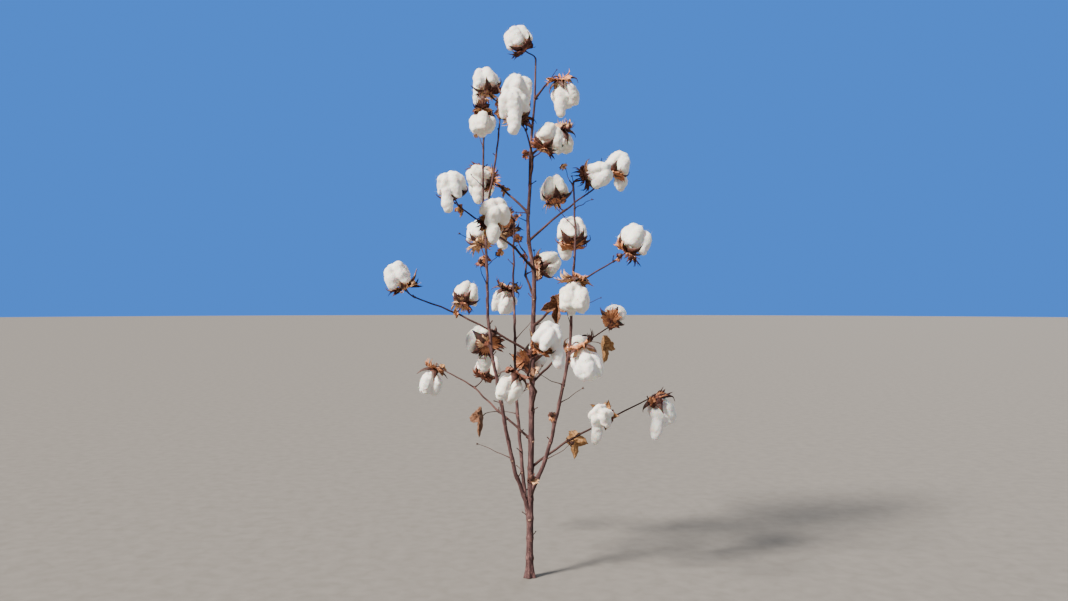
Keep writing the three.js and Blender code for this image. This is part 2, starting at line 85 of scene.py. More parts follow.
# %% Chance, directions and mixtures
MM = 0.001
SEED = 48
KEYS_EACH = 10
TRAIT = SimpleNamespace(
    branch_azimuth=1, branch_rise=2, branch_length=3, bare_joint=4, boll_pose=5, axis_azimuth=6, axis_rise=7,
    boll_size=8, stringing=9, lock_count=10, boll_turn=11, lock_puff=12, valve_reach=13, valve_rise=14,
    bract_droop=15, leaf_stalk=21, leaf_stalk_drop=22, lobe_length=23, leaf_crumple=24)
WORKS = ("hooks", "shoots", "buds", "valves", "bracts", "collars", "lint", "leaves", "scraps")
UP = np.array((0.0, 0.0, 1.0))
FULL_TURN = 2 * math.pi
NEARLY_UPRIGHT = 0.9
# Blender's own noise of vectors starts from the clock, unless it is given a seed. With this one the dead
# leaves stay on their stalks.
NOISE_SEED = 1958
noise.seed_set(NOISE_SEED)
# How fast the wave runs from piece to piece and from trait to trait, and how high it is. Only the digits
# after its point are kept, and the height scatters them.
PIECE_PACE = 12.9898
TRAIT_PACE = 78.233
WAVE_HEIGHT = 43758.5453


def chance(piece, trait):
    """A repeatable number from 0 to 1 for one trait of one piece."""
    wave = math.sin(piece * PIECE_PACE + trait * TRAIT_PACE + SEED) * WAVE_HEIGHT
    return wave - math.floor(wave)


def between(piece, trait, span):
    """A repeatable number within a span for one trait of one piece."""
    return mix(*span, chance(piece, trait))


def dice(work, number):
    """Repeatable dice for one piece of one kind of work."""
    return np.random.default_rng([SEED, WORKS.index(work), number])


def mix(a, b, share):
    return a + (b - a) * share


def unit(way):
    return way / np.linalg.norm(way)


def heading(azimuth, rise=0.0):
    """A unit vector by its angle round the stem and its angle above level, in degrees."""
    turn, climb = math.radians(azimuth), math.radians(rise)
    level = math.cos(climb)
    return np.array((level * math.cos(turn), level * math.sin(turn), math.sin(climb)))


def cross_axes(axis):
    """Two unit vectors square to an axis, which turn round it as X and Y do round Z."""
    helper = UP if abs(axis[2]) < NEARLY_UPRIGHT else np.array((1.0, 0.0, 0.0))
    first = unit(np.cross(helper, axis))
    return first, np.cross(axis, first)


def swell_near(distance, reach):
    """A smooth bump: 1 at no distance, and almost nothing at twice the reach."""
    return np.exp(-((distance / reach) ** 2))


print("a full turn is", round(FULL_TURN, 4), "radians, and the dice start from", SEED)


# %% [markdown]
# ## The limbs
# The main stem sways a little from side to side. A smooth curve through a few even steps of sway gives its
# middle at any height. Side stems leave it low down and swing up beside it. The fruiting branches leave it on
# the spiral that cotton has, three turns to every eight nodes. Each branch zigzags from joint to joint.

# %% The main stem
STEM_HEIGHT = 1225
STEM_FOOT_RADIUS = 8.5
STEM_TIP_RADIUS = 2.0
STEM_SLIMMING = 0.9
ROOT_FLARE = 4.0
ROOT_FLARE_HEIGHT = 20
FOOT_RINGS = (0, 12, 35, 80, 150)
SWAY_RIGHT = (0, 1, 2, 4, 5, 7, 9, 11, -4, 1, 3, 12, 15)
SWAY_BACK = (0, 3, 5, 4, 1, -2, -3, 0, 4, 6, 4, 1, 0)
NODE_SWELL = 1.12
BELOW_NODE = 14
BRANCH_COUNT = 14
FIRST_BRANCH = 258
LAST_BRANCH = 1132
TOP_BOLL_AZIMUTH = 150
STALK_LENGTH = 42
LONG_STALK_LENGTH = 60


def smooth_at(values, share):
    """A smooth curve through even steps of values, read at a share of its length."""
    last = len(values) - 1
    step = min(math.floor(share * last), last - 1)
    t = share * last - step
    here, after = values[step], values[step + 1]
    slope_here = (after - values[max(step - 1, 0)]) / 2
    slope_after = (values[min(step + 2, last)] - here) / 2
    cubic = 2 * here - 2 * after + slope_here + slope_after
    square = 3 * after - 3 * here - 2 * slope_here - slope_after
    return ((cubic * t + square) * t + slope_here) * t + here


def stem_centre(height):
    share = height / STEM_HEIGHT
    return np.array((smooth_at(SWAY_RIGHT, share), smooth_at(SWAY_BACK, share), height))


def stem_radius(height):
    flare = ROOT_FLARE * math.exp(-height / ROOT_FLARE_HEIGHT)
    slim = (1 - height / STEM_HEIGHT) ** STEM_SLIMMING
    return mix(STEM_TIP_RADIUS, STEM_FOOT_RADIUS, slim) + flare


def branch_height(k):
    return mix(FIRST_BRANCH, LAST_BRANCH, k / (BRANCH_COUNT - 1))


def boll_seat(at, azimuth, side=1, stalk=STALK_LENGTH, at_tip=True):
    """A place on a limb that bears a boll: which way out is, and how long the boll's stalk gets."""
    return SimpleNamespace(at=at, azimuth=azimuth, side=side, stalk=stalk, at_tip=at_tip)


def main_stem():
    rings = [(height, 1.0) for height in FOOT_RINGS]
    for k in range(BRANCH_COUNT):
        rings += [(branch_height(k) - BELOW_NODE, 1.0), (branch_height(k), NODE_SWELL)]
    rings.append((STEM_HEIGHT, 1.0))
    tip = boll_seat(stem_centre(STEM_HEIGHT), TOP_BOLL_AZIMUTH)
    return SimpleNamespace(name="main_stem", seats=[tip], bare_seats=[],
                           points=[stem_centre(height) for height, _ in rings],
                           radii=[stem_radius(height) * swell for height, swell in rings])


# %% The side stems, and the fork of the left one
SIDE_STEMS = (
    SimpleNamespace(name="side_stem_left", azimuth=202, foot=150, top=1090, reach=116, seats=(0.4, 0.64)),
    SimpleNamespace(name="side_stem_right", azimuth=337, foot=195, top=925, reach=112, seats=(0.48, 0.76)),
    SimpleNamespace(name="side_stem_back", azimuth=112, foot=112, top=850, reach=108, seats=(0.5, 0.78)),
)
SIDE_STEM_RADIUS = 5.2
SIDE_STEM_SWING = 3.2
SIDE_STEM_WAVER = 3
WAVER_PACE = 17
SIDE_STEM_RINGS = 11
SPIRAL_TURN = 135
TWIG_RADIUS = 1.6
FORK = SimpleNamespace(share=0.75, elbow=(24, -16, 58), tip=(40, -24, 232), radius=3.0, rings=6,
                       azimuth=300)


def side_stem_point(plan, share):
    waver = SIDE_STEM_WAVER * math.sin(WAVER_PACE * share)
    out = plan.reach * (1 - (1 - share) ** SIDE_STEM_SWING) + waver
    return stem_centre(plan.foot) + heading(plan.azimuth) * out + UP * (plan.top - plan.foot) * share


def side_stem_radius(share):
    return mix(SIDE_STEM_RADIUS, STEM_TIP_RADIUS, share ** STEM_SLIMMING)


def side_stem(plan):
    shares = [i / (SIDE_STEM_RINGS - 1) for i in range(SIDE_STEM_RINGS)]
    seats = [boll_seat(side_stem_point(plan, share), plan.azimuth + SPIRAL_TURN * (i - 1),
                       stalk=LONG_STALK_LENGTH, at_tip=False) for i, share in enumerate(plan.seats)]
    seats.append(boll_seat(side_stem_point(plan, 1), plan.azimuth))
    return SimpleNamespace(name=plan.name, seats=seats, bare_seats=[],
                           points=[side_stem_point(plan, share) for share in shares],
                           radii=[side_stem_radius(share) for share in shares])


def bend(start, elbow, end, share):
    """A point on the smooth bend from start to end that an elbow draws towards itself."""
    return (1 - share) ** 2 * start + 2 * share * (1 - share) * elbow + share ** 2 * end


def fork_point(plan, share):
    start = side_stem_point(plan, FORK.share)
    return bend(start, start + np.array(FORK.elbow), start + np.array(FORK.tip), share)


def side_stem_fork(plan):
    shares = [i / (FORK.rings - 1) for i in range(FORK.rings)]
    tip = boll_seat(fork_point(plan, 1), FORK.azimuth)
    return SimpleNamespace(name=plan.name + "_fork", seats=[tip], bare_seats=[],
                           points=[fork_point(plan, share) for share in shares],
                           radii=[mix(FORK.radius, TWIG_RADIUS, share) for share in shares])


# %% The fruiting branches
AZIMUTH_SPREAD = 8
LONGEST_BRANCH = 330
BRANCH_SHORTENING = 0.82
SHORTENING_PACE = 2.2
LENGTH_SPREAD = 0.06
BRANCH_RADIUS = 3.1
KNUCKLE = 1.25
LOWEST_RISE = 31
HIGHEST_RISE = 42
RISE_SPREAD = 6
JOINT_DROOP = 5
ZIGZAG = 9
THREE_JOINTS = 235
TWO_JOINTS = 150
EITHER_WAY = (-1, 1)


def fruiting_branch(k):
    share = k / (BRANCH_COUNT - 1)
    azimuth = SPIRAL_TURN * k + AZIMUTH_SPREAD * between(k, TRAIT.branch_azimuth, EITHER_WAY)
    rise = mix(LOWEST_RISE, HIGHEST_RISE, share) + RISE_SPREAD * between(k, TRAIT.branch_rise, EITHER_WAY)
    shortened = LONGEST_BRANCH * (1 - BRANCH_SHORTENING * share ** SHORTENING_PACE)
    length = shortened * (1 + LENGTH_SPREAD * between(k, TRAIT.branch_length, EITHER_WAY))
    joints = 3 if length > THREE_JOINTS else 2 if length > TWO_JOINTS else 1
    bare_joint = 1 + math.floor(2 * chance(k, TRAIT.bare_joint)) if joints == 3 else 0
    branch = SimpleNamespace(name=f"fruiting_branch_{k + 1:02d}", points=[stem_centre(branch_height(k))],
                             radii=[BRANCH_RADIUS * KNUCKLE], seats=[], bare_seats=[], joints=joints)
    for joint in range(1, joints + 1):
        side = 1 if joint % 2 else -1
        way = heading(azimuth + side * ZIGZAG, rise - JOINT_DROOP * (joint - 1))
        start = branch.points[-1]
        at = start + way * length / joints
        branch.points += [start + way * length / joints / 2, at]
        branch.radii += [mix(BRANCH_RADIUS, TWIG_RADIUS, (joint - 0.5) / joints),
                         mix(BRANCH_RADIUS, TWIG_RADIUS, joint / joints) * (KNUCKLE if joint < joints else 1)]
        seat = boll_seat(at, azimuth + side * ZIGZAG, side, at_tip=joint == joints)
        (branch.bare_seats if joint == bare_joint else branch.seats).append(seat)
    return branch


limbs = [main_stem(), *map(side_stem, SIDE_STEMS), side_stem_fork(SIDE_STEMS[0]),
         *map(fruiting_branch, range(BRANCH_COUNT))]
print(len(limbs), "limbs with", sum(len(limb.seats) for limb in limbs), "seats for bolls")

# %% [markdown]
# ## Where the bolls hang
# A boll sits at the end of a short stalk. On a windswept plant some stand up, some lean out and some nod, so
# each seat draws one of three poses. A boll needs a ball of free room. Each seat tries a few directions and
# keeps the one with the most room, and a boll with too little is made smaller. This is the same rule that
# placed the solids, so every boll here grows inside its own node.

# %% The poses of a boll, and the room that it takes
BOLL_SIZES = (0.92, 1.12)
SMALLEST_BOLL = 0.66
STALK_ELBOW = 0.55
LINT_MIDDLE = 29
LOCK_MIDDLE = 22
STRING_DROP = 28
STRING_ODDS = 0.35
FOUR_LOCK_ODDS = 0.5
# The boll stands up, leans out or nods.
POSES = (
    SimpleNamespace(odds=0.44, stalk_rise=28, axis_rise=(52, 74)),
    SimpleNamespace(odds=0.22, stalk_rise=28, axis_rise=(5, 28)),
    SimpleNamespace(odds=0.34, stalk_rise=40, axis_rise=(-74, -52)),
)
AXIS_TWIST = (-20, 20)
TWISTS = (62, 88, 35, 112, 0, -35, -62, -88)
TIP_TWIST = 0.5
ROOM_STEP = 0.1
BOLL_MIDDLE = 20
BOLL_REACH = 46
LINT_REACH = 40
STRING_REACH = 28
HUB_CLEARANCE = 18
CLEAR_OF_GROUND = 90


def distance_to_limb(point, limb):
    least = math.inf
    for start, end, *radii in zip(limb.points, limb.points[1:], limb.radii, limb.radii[1:]):
        along = end - start
        share = min(1.0, max(0.0, float(np.dot(point - start, along) / np.dot(along, along))))
        least = min(least, np.linalg.norm(start + along * share - point) - max(radii))
    return least


def room_among_limbs(at, radius):
    return min(distance_to_limb(at, limb) for limb in limbs) - radius


def room_among_balls(at, radius, placed):
    rooms = [np.linalg.norm(middle - at) - reach for piece in placed for middle, reach in piece.balls]
    return min(rooms, default=math.inf) - radius


def roomiest(trials, placed):
    def room(trial):
        at, radius = trial.balls[0]
        return min(at[2] - radius - CLEAR_OF_GROUND, room_among_limbs(*trial.heart),
                   room_among_limbs(trial.hub, HUB_CLEARANCE), room_among_balls(at, radius, placed))
    rooms = [math.floor(room(trial) / ROOM_STEP) * ROOM_STEP for trial in trials]
    best = rooms.index(max(rooms))
    trials[best].room = rooms[best]
    return trials[best]


def boll_trial(number, seat, size, twist):
    left_over = chance(number, TRAIT.boll_pose)
    for pose in POSES:
        left_over -= pose.odds
        if left_over < 0:
            break
    azimuth = seat.azimuth + (TIP_TWIST if seat.at_tip else 1) * seat.side * twist
    elbow = seat.at + heading(azimuth, pose.stalk_rise) * seat.stalk * STALK_ELBOW
    axis = heading(azimuth + between(number, TRAIT.axis_azimuth, AXIS_TWIST),
                   between(number, TRAIT.axis_rise, pose.axis_rise))
    hub = elbow + axis * seat.stalk * (1 - STALK_ELBOW)
    return SimpleNamespace(number=number, seat=seat, elbow=elbow, axis=axis, hub=hub,
                           heart=(hub + axis * LINT_MIDDLE * size, LINT_REACH * size),
                           balls=[(hub + axis * BOLL_MIDDLE * size, BOLL_REACH * size)])


# %% Place every boll, and string out a lock where there is room below it
def lock_angle(boll, i):
    return boll.turn + FULL_TURN * (i + 0.5) / boll.locks


def lock_middle(boll, i):
    first, second = cross_axes(boll.axis)
    angle = lock_angle(boll, i)
    level = first * math.cos(angle) + second * math.sin(angle)
    return boll.hub + boll.axis * LINT_MIDDLE * boll.size + level * LOCK_MIDDLE * boll.size


def string_out(boll, placed):
    middles = [lock_middle(boll, i) for i in range(boll.locks)]
    lowest = min(range(boll.locks), key=lambda i: middles[i][2])
    string = middles[lowest] - UP * STRING_DROP * boll.size
    radius = STRING_REACH * boll.size
    room = min(room_among_limbs(string, radius), room_among_balls(string, radius, placed))
    boll.strung = lowest if room >= 0 and chance(boll.number, TRAIT.stringing) <= STRING_ODDS else None
    if boll.strung is not None:
        boll.balls.append((string, radius))


def place_bolls():
    placed = []
    for number, seat in enumerate(seat for limb in limbs for seat in limb.seats):
        wish = between(number, TRAIT.boll_size, BOLL_SIZES)
        boll = roomiest([boll_trial(number, seat, wish, twist) for twist in TWISTS], placed)
        at, radius = boll.balls[0]
        fit = min(1.0, 1 + boll.room / radius)
        if wish * fit < SMALLEST_BOLL:
            continue
        boll.size = wish * fit
        boll.balls = [(at, radius * fit)]
        boll.locks = 4 if chance(number, TRAIT.lock_count) < FOUR_LOCK_ODDS else 5
        boll.turn = FULL_TURN * chance(number, TRAIT.boll_turn)
        string_out(boll, placed)
        placed.append(boll)
    return placed


bolls = place_bolls()
for i, boll in enumerate(bolls):
    boll.node = f"boll_{i + 1:02d}"
print(len(bolls), "bolls,", sum(boll.strung is not None for boll in bolls), "with a lock that hangs out")

# %% Check that each boll stands in its own node
def outside_box(point, node):
    """How far a point lies outside a node's box, in millimetres."""
    low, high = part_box(node)
    return max(max(low[i] - point[i] * MM, point[i] * MM - high[i]) for i in range(3)) / MM


def heart_of(boll):
    return boll.hub + boll.axis * LINT_MIDDLE * boll.size


worst = max(bolls, key=lambda boll: outside_box(heart_of(boll), boll.node))
print("the heart that is least inside its node is", round(-outside_box(heart_of(worst), worst.node), 1),
      "mm inside", worst.node)

# %% [markdown]
# ## Tools for meshes and for trees of nodes
# A mesh is a list of points and a list of faces. Many small shapes are gathered in one pile and become one
# mesh, which is far quicker than one object for each. Points that lie on each other are merged, which closes
# the pole where the rows of a grid meet.
#
# Blender keeps materials and Geometry Nodes alike as trees of nodes, so one function adds a node to either.
# The sizes of a Geometry Nodes tree are its named inputs, and the same tree can then grow a thick stem and a
# thin stalk. What it grows is turned into plain mesh, because only plain mesh travels with the part.

# %% Gather shapes in a pile, and make one mesh of it
SAME_POINT = 1e-6


class Pile:
    """Points, faces and finishes of many shapes that become one mesh. The points are in millimetres."""

    def __init__(self):
        self.points, self.faces, self.finishes, self.count = [], [], [], 0

    def add(self, points, faces, finish=0):
        self.points.append(points)
        self.faces += (np.asarray(faces) + self.count).tolist()
        self.finishes += np.broadcast_to(finish, len(faces)).tolist()
        self.count += len(points)

    def piece(self, name, materials):
        mesh = bpy.data.meshes.new(name)
        mesh.from_pydata(np.concatenate(self.points) * MM, [], self.faces)
        for material in materials:
            mesh.materials.append(material)
        mesh.polygons.foreach_set("material_index", self.finishes)
        shape = bmesh.new()
        shape.from_mesh(mesh)
        bmesh.ops.remove_doubles(shape, verts=shape.verts, dist=SAME_POINT)
        shape.to_mesh(mesh)
        shape.free()
        mesh.shade_smooth()
        return place_in_scene(name, mesh)


def place_in_scene(name, mesh):
    piece = bpy.data.objects.new(name, mesh)
    bpy.context.scene.collection.objects.link(piece)
    return piece


def grid_faces(rows, columns, closed=False):
    """The four-sided faces of a grid of points. Their normal is the columns' direction cross the rows'."""
    index = np.arange(rows * columns).reshape(rows, columns)
    if closed:
        index = np.concatenate([index, index[:, :1]], axis=1)
    corners = index[:-1, :-1], index[:-1, 1:], index[1:, 1:], index[1:, :-1]
    return np.stack([corner.ravel() for corner in corners], axis=1)


def unit_ball(subdivisions):
    """The points and three-sided faces of a ball of radius 1."""
    shape = bmesh.new()
    bmesh.ops.create_icosphere(shape, subdivisions=subdivisions, radius=1)
    shape.verts.index_update()
    points = np.array([vertex.co for vertex in shape.verts])
    faces = np.array([[vertex.index for vertex in face.verts] for face in shape.faces])
    shape.free()
    return points, faces


def triangles(piece):
    return sum(len(face.vertices) - 2 for face in piece.data.polygons)


def settle(piece):
    """Turn what a piece's modifiers make into its plain mesh, and remove them. Realize Instances puts an
    empty slot first where what it joins had no material yet, and it is taken out."""
    bpy.context.view_layer.update()
    evaluated = piece.evaluated_get(bpy.context.evaluated_depsgraph_get())
    mesh = bpy.data.meshes.new_from_object(evaluated)
    if mesh.materials and mesh.materials[0] is None:
        mesh.materials.pop(index=0)
    piece.modifiers.clear()
    piece.data = mesh
    print(piece.name, "has", triangles(piece), "triangles")


def thicken(piece, wall, **settings):
    """Give a sheet its wall, and settle it."""
    solid = piece.modifiers.new("wall", "SOLIDIFY")
    solid.thickness = wall * MM
    for name, value in settings.items():
        setattr(solid, name, value)
    settle(piece)


# %% Add a node to a tree, and grow a piece with a tree
SOCKET_KINDS = {float: "NodeSocketFloat", int: "NodeSocketInt", type(None): "NodeSocketMaterial"}
NOISE_MIDDLE = 0.5


def add_node(tree, kind, inputs=None, **settings):
    """Add a node with its settings. An input takes a value, a socket, or a node for its first output."""
    node = tree.nodes.new(kind)
    for name, value in settings.items():
        setattr(node, name, value)
    for name, value in (inputs or {}).items():
        source = value.outputs[0] if isinstance(value, bpy.types.Node) else value
        if isinstance(source, bpy.types.NodeSocket):
            tree.links.new(source, node.inputs[name])
        else:
            node.inputs[name].default_value = source
    return node


def geometry_tree(name, sizes):
    """An empty Geometry Nodes tree with a named input for each size, and the sockets that give them."""
    tree = bpy.data.node_groups.new(name, "GeometryNodeTree")
    tree.interface.new_socket("Geometry", in_out="INPUT", socket_type="NodeSocketGeometry")
    tree.interface.new_socket("Geometry", in_out="OUTPUT", socket_type="NodeSocketGeometry")
    for title, value in sizes.items():
        socket = tree.interface.new_socket(title, in_out="INPUT", socket_type=SOCKET_KINDS[type(value)])
        if value is not None:
            socket.default_value = value
    return tree, tree.nodes.new("NodeGroupInput").outputs


def end_tree(tree, geometry, material):
    """Every tree ends alike: its instances are realized, and its material is set."""
    plain = add_node(tree, "GeometryNodeRealizeInstances", {"Geometry": geometry})
    finished = add_node(tree, "GeometryNodeSetMaterial", {"Geometry": plain, "Material": material})
    add_node(tree, "NodeGroupOutput", {0: finished})
    return tree


def noise_relief(tree, place, size, depth, detail, distortion):
    """Heights on both sides of zero, from a noise whose bumps have a size and a depth."""
    counted = add_node(tree, "ShaderNodeVectorMath", {0: place, 1: size}, operation="DIVIDE")
    bumps = add_node(tree, "ShaderNodeTexNoise", {
        "Vector": counted, "Scale": 1.0, "Detail": detail, "Distortion": distortion})
    level = add_node(tree, "ShaderNodeMath", {0: bumps, 1: NOISE_MIDDLE}, operation="SUBTRACT")
    return add_node(tree, "ShaderNodeMath", {0: level, 1: depth}, operation="MULTIPLY")


def raise_along_normal(tree, geometry, height):
    """Lift a surface along its own normal, and shade it smooth."""
    normal = add_node(tree, "GeometryNodeInputNormal")
    lift = add_node(tree, "ShaderNodeVectorMath", {0: normal, "Scale": height}, operation="SCALE")
    raised = add_node(tree, "GeometryNodeSetPosition", {"Geometry": geometry, "Offset": lift})
    return add_node(tree, "GeometryNodeSetShadeSmooth", {"Geometry": raised})


def scatter(tree, surface, thing, density, tilt, scales):
    """Copies of a thing all over a surface. Each is turned about the normal, tilted and scaled by chance."""
    points = add_node(tree, "GeometryNodeDistributePointsOnFaces", {
        "Mesh": surface, "Density": density, "Seed": SEED})
    lean = add_node(tree, "FunctionNodeRandomValue", {
        0: (-tilt, -tilt, -math.pi), 1: (tilt, tilt, math.pi), "Seed": SEED}, data_type="FLOAT_VECTOR")
    turn = add_node(tree, "FunctionNodeEulerToRotation", {"Euler": lean})
    facing = add_node(tree, "FunctionNodeRotateRotation", {
        "Rotation": points.outputs["Rotation"], "Rotate By": turn}, rotation_space="LOCAL")
    scale = add_node(tree, "FunctionNodeRandomValue", {2: scales[0], 3: scales[1], "Seed": SEED + 1})
    return add_node(tree, "GeometryNodeInstanceOnPoints", {
        "Points": points, "Instance": thing, "Rotation": facing, "Scale": scale.outputs[1]})


def grow(piece, tree, **sizes):
    """Run a tree on a piece, and keep what it grows. An underscore stands for a space in a size's name."""
    modifier = piece.modifiers.new(tree.name, "NODES")
    modifier.node_group = tree
    for socket in tree.interface.items_tree:
        key = socket.name.lower().replace(" ", "_")
        if socket.in_out == "INPUT" and key in sizes:
            modifier[socket.identifier] = sizes[key]
    settle(piece)


# %% [markdown]
# ## Natural finishes
# Nothing on a dry plant has one even colour, and no two places on it look alike. Each finish here is a few
# noises laid over each other. The first deals out the colours, and each may raise a relief. A noise is given
# by the real lengths of its pattern in millimetres: three alike make blotches, and a long one makes streaks.

# %% Colours, patterns and a finish made of them
def srgb(code):
    """The linear colour of an sRGB hex value."""
    parts = [int(code[i:i + 2], 16) / 255 for i in (0, 2, 4)]
    return (*[part / 12.92 if part <= 0.04045 else ((part + 0.055) / 1.055) ** 2.4 for part in parts], 1.0)


def pattern(*lengths, depth=0.0, detail=3.0, distortion=0.3):
    """A noise by its lengths and the depth of its relief, in millimetres."""
    return SimpleNamespace(lengths=lengths, depth=depth, detail=detail, distortion=distortion)


def natural_finish(name, colors, patterns, blend=0.0, attribute=None, **uniform):
    """The first pattern deals out the colours, with a share of the second blended in. Each relief lies over
    the one before it. The patterns read an attribute of the piece if one is named, and else its Object
    coordinates."""
    material = bpy.data.materials.new(name)
    material.use_nodes = True
    tree = material.node_tree
    tree.nodes.clear()
    if attribute:
        place = add_node(tree, "ShaderNodeAttribute", attribute_name=attribute).outputs["Vector"]
    else:
        place = add_node(tree, "ShaderNodeTexCoord").outputs["Object"]
    noises, relief = [], {}
    for each in patterns:
        counts = [1 / (length * MM) for length in each.lengths]
        counted = add_node(tree, "ShaderNodeVectorMath", {0: place, 1: counts}, operation="MULTIPLY")
        noises.append(add_node(tree, "ShaderNodeTexNoise", {
            "Vector": counted, "Scale": 1.0, "Detail": each.detail, "Distortion": each.distortion}))
        if each.depth:
            relief = {"Normal": add_node(tree, "ShaderNodeBump", relief | {
                "Height": noises[-1], "Distance": each.depth * MM, "Strength": 1.0})}
    share = noises[0]
    if blend:
        share = add_node(tree, "ShaderNodeMix", {0: blend, 2: noises[0], 3: noises[1]}, data_type="FLOAT")
    dealt = add_node(tree, "ShaderNodeValToRGB", {"Fac": share})
    for spot, _ in colors[1:-1]:
        dealt.color_ramp.elements.new(spot)
    for stop, (spot, code) in zip(dealt.color_ramp.elements, colors):
        stop.position = spot
        stop.color = srgb(code)
    plain = {title.replace("_", " "): value for title, value in uniform.items()}
    shader = add_node(tree, "ShaderNodeBsdfPrincipled", {"Base Color": dealt} | relief | plain)
    add_node(tree, "ShaderNodeOutputMaterial", {"Surface": shader})
    print("finish:", name)
    return material


# %% [markdown]
# ## The bark
# The stems of a ripe cotton plant are woody and thin-barked. The bark is a dull purplish brown that looks
# mauve in the sun, with low ridges that run along the stem, pale pores, and a scar under every node. It could
# be a picture wrapped round a cylinder. Real relief holds up from every side, so a circle is swept along each
# limb instead, and its surface is raised by a noise that runs with the limb.
#
# The noise reads its own coordinates: two that go round the limb and one that goes along it. They are kept
# in an attribute named bark_place, and the material reads the same one, so its streaks lie on the ridges.

# %% The finishes of bark
STREAK_STRETCH = 12


# Dry cotton bark, corky and fully matt: the eye reads it by streaks of two browns and by faint ridges.
def bark_finish(name, colors, streak):
    streaks = pattern(streak, streak, STREAK_STRETCH * streak, depth=0.5, detail=4.0)
    patches = pattern(9, 9, 26, detail=2.0)
    grain = pattern(0.35, 0.35, 4.0, depth=0.12, detail=2.0)
    return natural_finish(name, colors, (streaks, patches, grain), blend=0.42, attribute="bark_place",
                          Roughness=0.82, Specular_IOR_Level=0.25)


STEM_BARK = bark_finish("dry cotton stem bark", ((0.34, "271819"), (0.52, "4E3636"), (0.7, "8A6763")), 1.3)
TWIG_BARK = bark_finish("dark twig bark", ((0.32, "1D1110"), (0.52, "412A27"), (0.7, "71504B")), 0.8)
PORE_CORK = bark_finish("pale cork of pores and scars", ((0.3, "6B4A3D"), (0.7, "B0917B")), 0.6)

# %% Sweep bark along paths, with ridges that follow them
PORE_SHAPE = (1.0, 0.6, 0.45)
PORE_SCALES = (0.6, 1.5)
FIELD_KINDS = {"girth": "FLOAT", "along": "FLOAT", "strand": "FLOAT", "around": "FLOAT_VECTOR",
               "pore": "BOOLEAN"}


def bark_tree():
    tree, given = geometry_tree("sweep bark along limbs", {
        "Sides": 24, "Ridge Width": 0.003, "Ridge Length": 0.03, "Ridge Share": 0.2, "Pores": 9000.0,
        "Pore Size": 0.0007, "Bark": None, "Cork": None})
    field = {name: add_node(tree, "GeometryNodeInputNamedAttribute", {"Name": name}, data_type=kind)
             for name, kind in FIELD_KINDS.items()}
    circle = add_node(tree, "GeometryNodeCurvePrimitiveCircle", {"Resolution": given["Sides"], "Radius": 1.0})
    marked = add_node(tree, "GeometryNodeStoreNamedAttribute", {
        "Geometry": circle, "Name": "around", "Value": add_node(tree, "GeometryNodeInputPosition")},
        data_type="FLOAT_VECTOR")
    curve = add_node(tree, "GeometryNodeMeshToCurve", {"Mesh": given["Geometry"]})
    swept = add_node(tree, "GeometryNodeCurveToMesh", {
        "Curve": curve, "Profile Curve": marked, "Scale": field["girth"], "Fill Caps": True})
    length = add_node(tree, "ShaderNodeCombineXYZ", {"X": field["strand"], "Z": field["along"]})
    place = add_node(tree, "ShaderNodeVectorMath", {
        0: field["around"], 1: field["girth"], 2: length}, operation="MULTIPLY_ADD")
    kept = add_node(tree, "GeometryNodeStoreNamedAttribute", {
        "Geometry": swept, "Name": "bark_place", "Value": place}, data_type="FLOAT_VECTOR")
    ridge = add_node(tree, "ShaderNodeCombineXYZ", {
        "X": given["Ridge Width"], "Y": given["Ridge Width"], "Z": given["Ridge Length"]})
    share = noise_relief(tree, place, ridge, given["Ridge Share"], detail=2.0, distortion=0.3)
    height = add_node(tree, "ShaderNodeMath", {0: share, 1: field["girth"]}, operation="MULTIPLY")
    bark = raise_along_normal(tree, kept, height)
    grain = add_node(tree, "GeometryNodeMeshIcoSphere", {"Radius": given["Pore Size"], "Subdivisions": 1})
    flat = add_node(tree, "GeometryNodeTransform", {"Geometry": grain, "Scale": PORE_SHAPE})
    spotted = add_node(tree, "GeometryNodeStoreNamedAttribute", {
        "Geometry": flat, "Name": "pore", "Value": True}, data_type="BOOLEAN")
    joined = add_node(tree, "GeometryNodeJoinGeometry", {"Geometry": bark})
    tree.links.new(scatter(tree, bark, spotted, given["Pores"], 0.0, PORE_SCALES).outputs[0],
                   joined.inputs["Geometry"])
    plain = add_node(tree, "GeometryNodeRealizeInstances", {"Geometry": joined})
    barked = add_node(tree, "GeometryNodeSetMaterial", {"Geometry": plain, "Material": given["Bark"]})
    corked = add_node(tree, "GeometryNodeSetMaterial", {
        "Geometry": barked, "Selection": field["pore"], "Material": given["Cork"]})
    add_node(tree, "NodeGroupOutput", {0: corked})
    return tree


BARK_TREE = bark_tree()
print("the bark tree has", len(BARK_TREE.nodes), "nodes")

# %% Trace each limb finely, with its swollen nodes
NODE_STEP = 46
NODE_SWELLING = 0.16
JOINT_SWELLING = 0.38
COLLAR_SWELLING = 0.5
COLLAR_REACH = 2.4
NODE_REACH = 6
EASING_PASSES = 6
FIXED_FOOT = 30
FIXED_TIP = 12
BOW_SIZE = 34
BOW = 2.2
TIP_STEPS = (0.45, 0.8)
TIP_GIRTHS = (0.88, 0.45)
STRAND_GAP = 50
FEWEST_STEPS = 4


def plain_girth(limb, share, height):
    """The radius of a limb without its nodes."""
    if limb.name == "main_stem":
        return stem_radius(height)
    if limb.name.startswith("fruiting_branch"):
        return mix(BRANCH_RADIUS, TWIG_RADIUS, share)
    return mix(FORK.radius, TWIG_RADIUS, share) if limb.name.endswith("_fork") else side_stem_radius(share)


def bearer_radius(limb):
    """The radius of what bears a limb, where the limb leaves it."""
    return side_stem_radius(FORK.share) if limb.name.endswith("_fork") else stem_radius(limb.points[0][2])


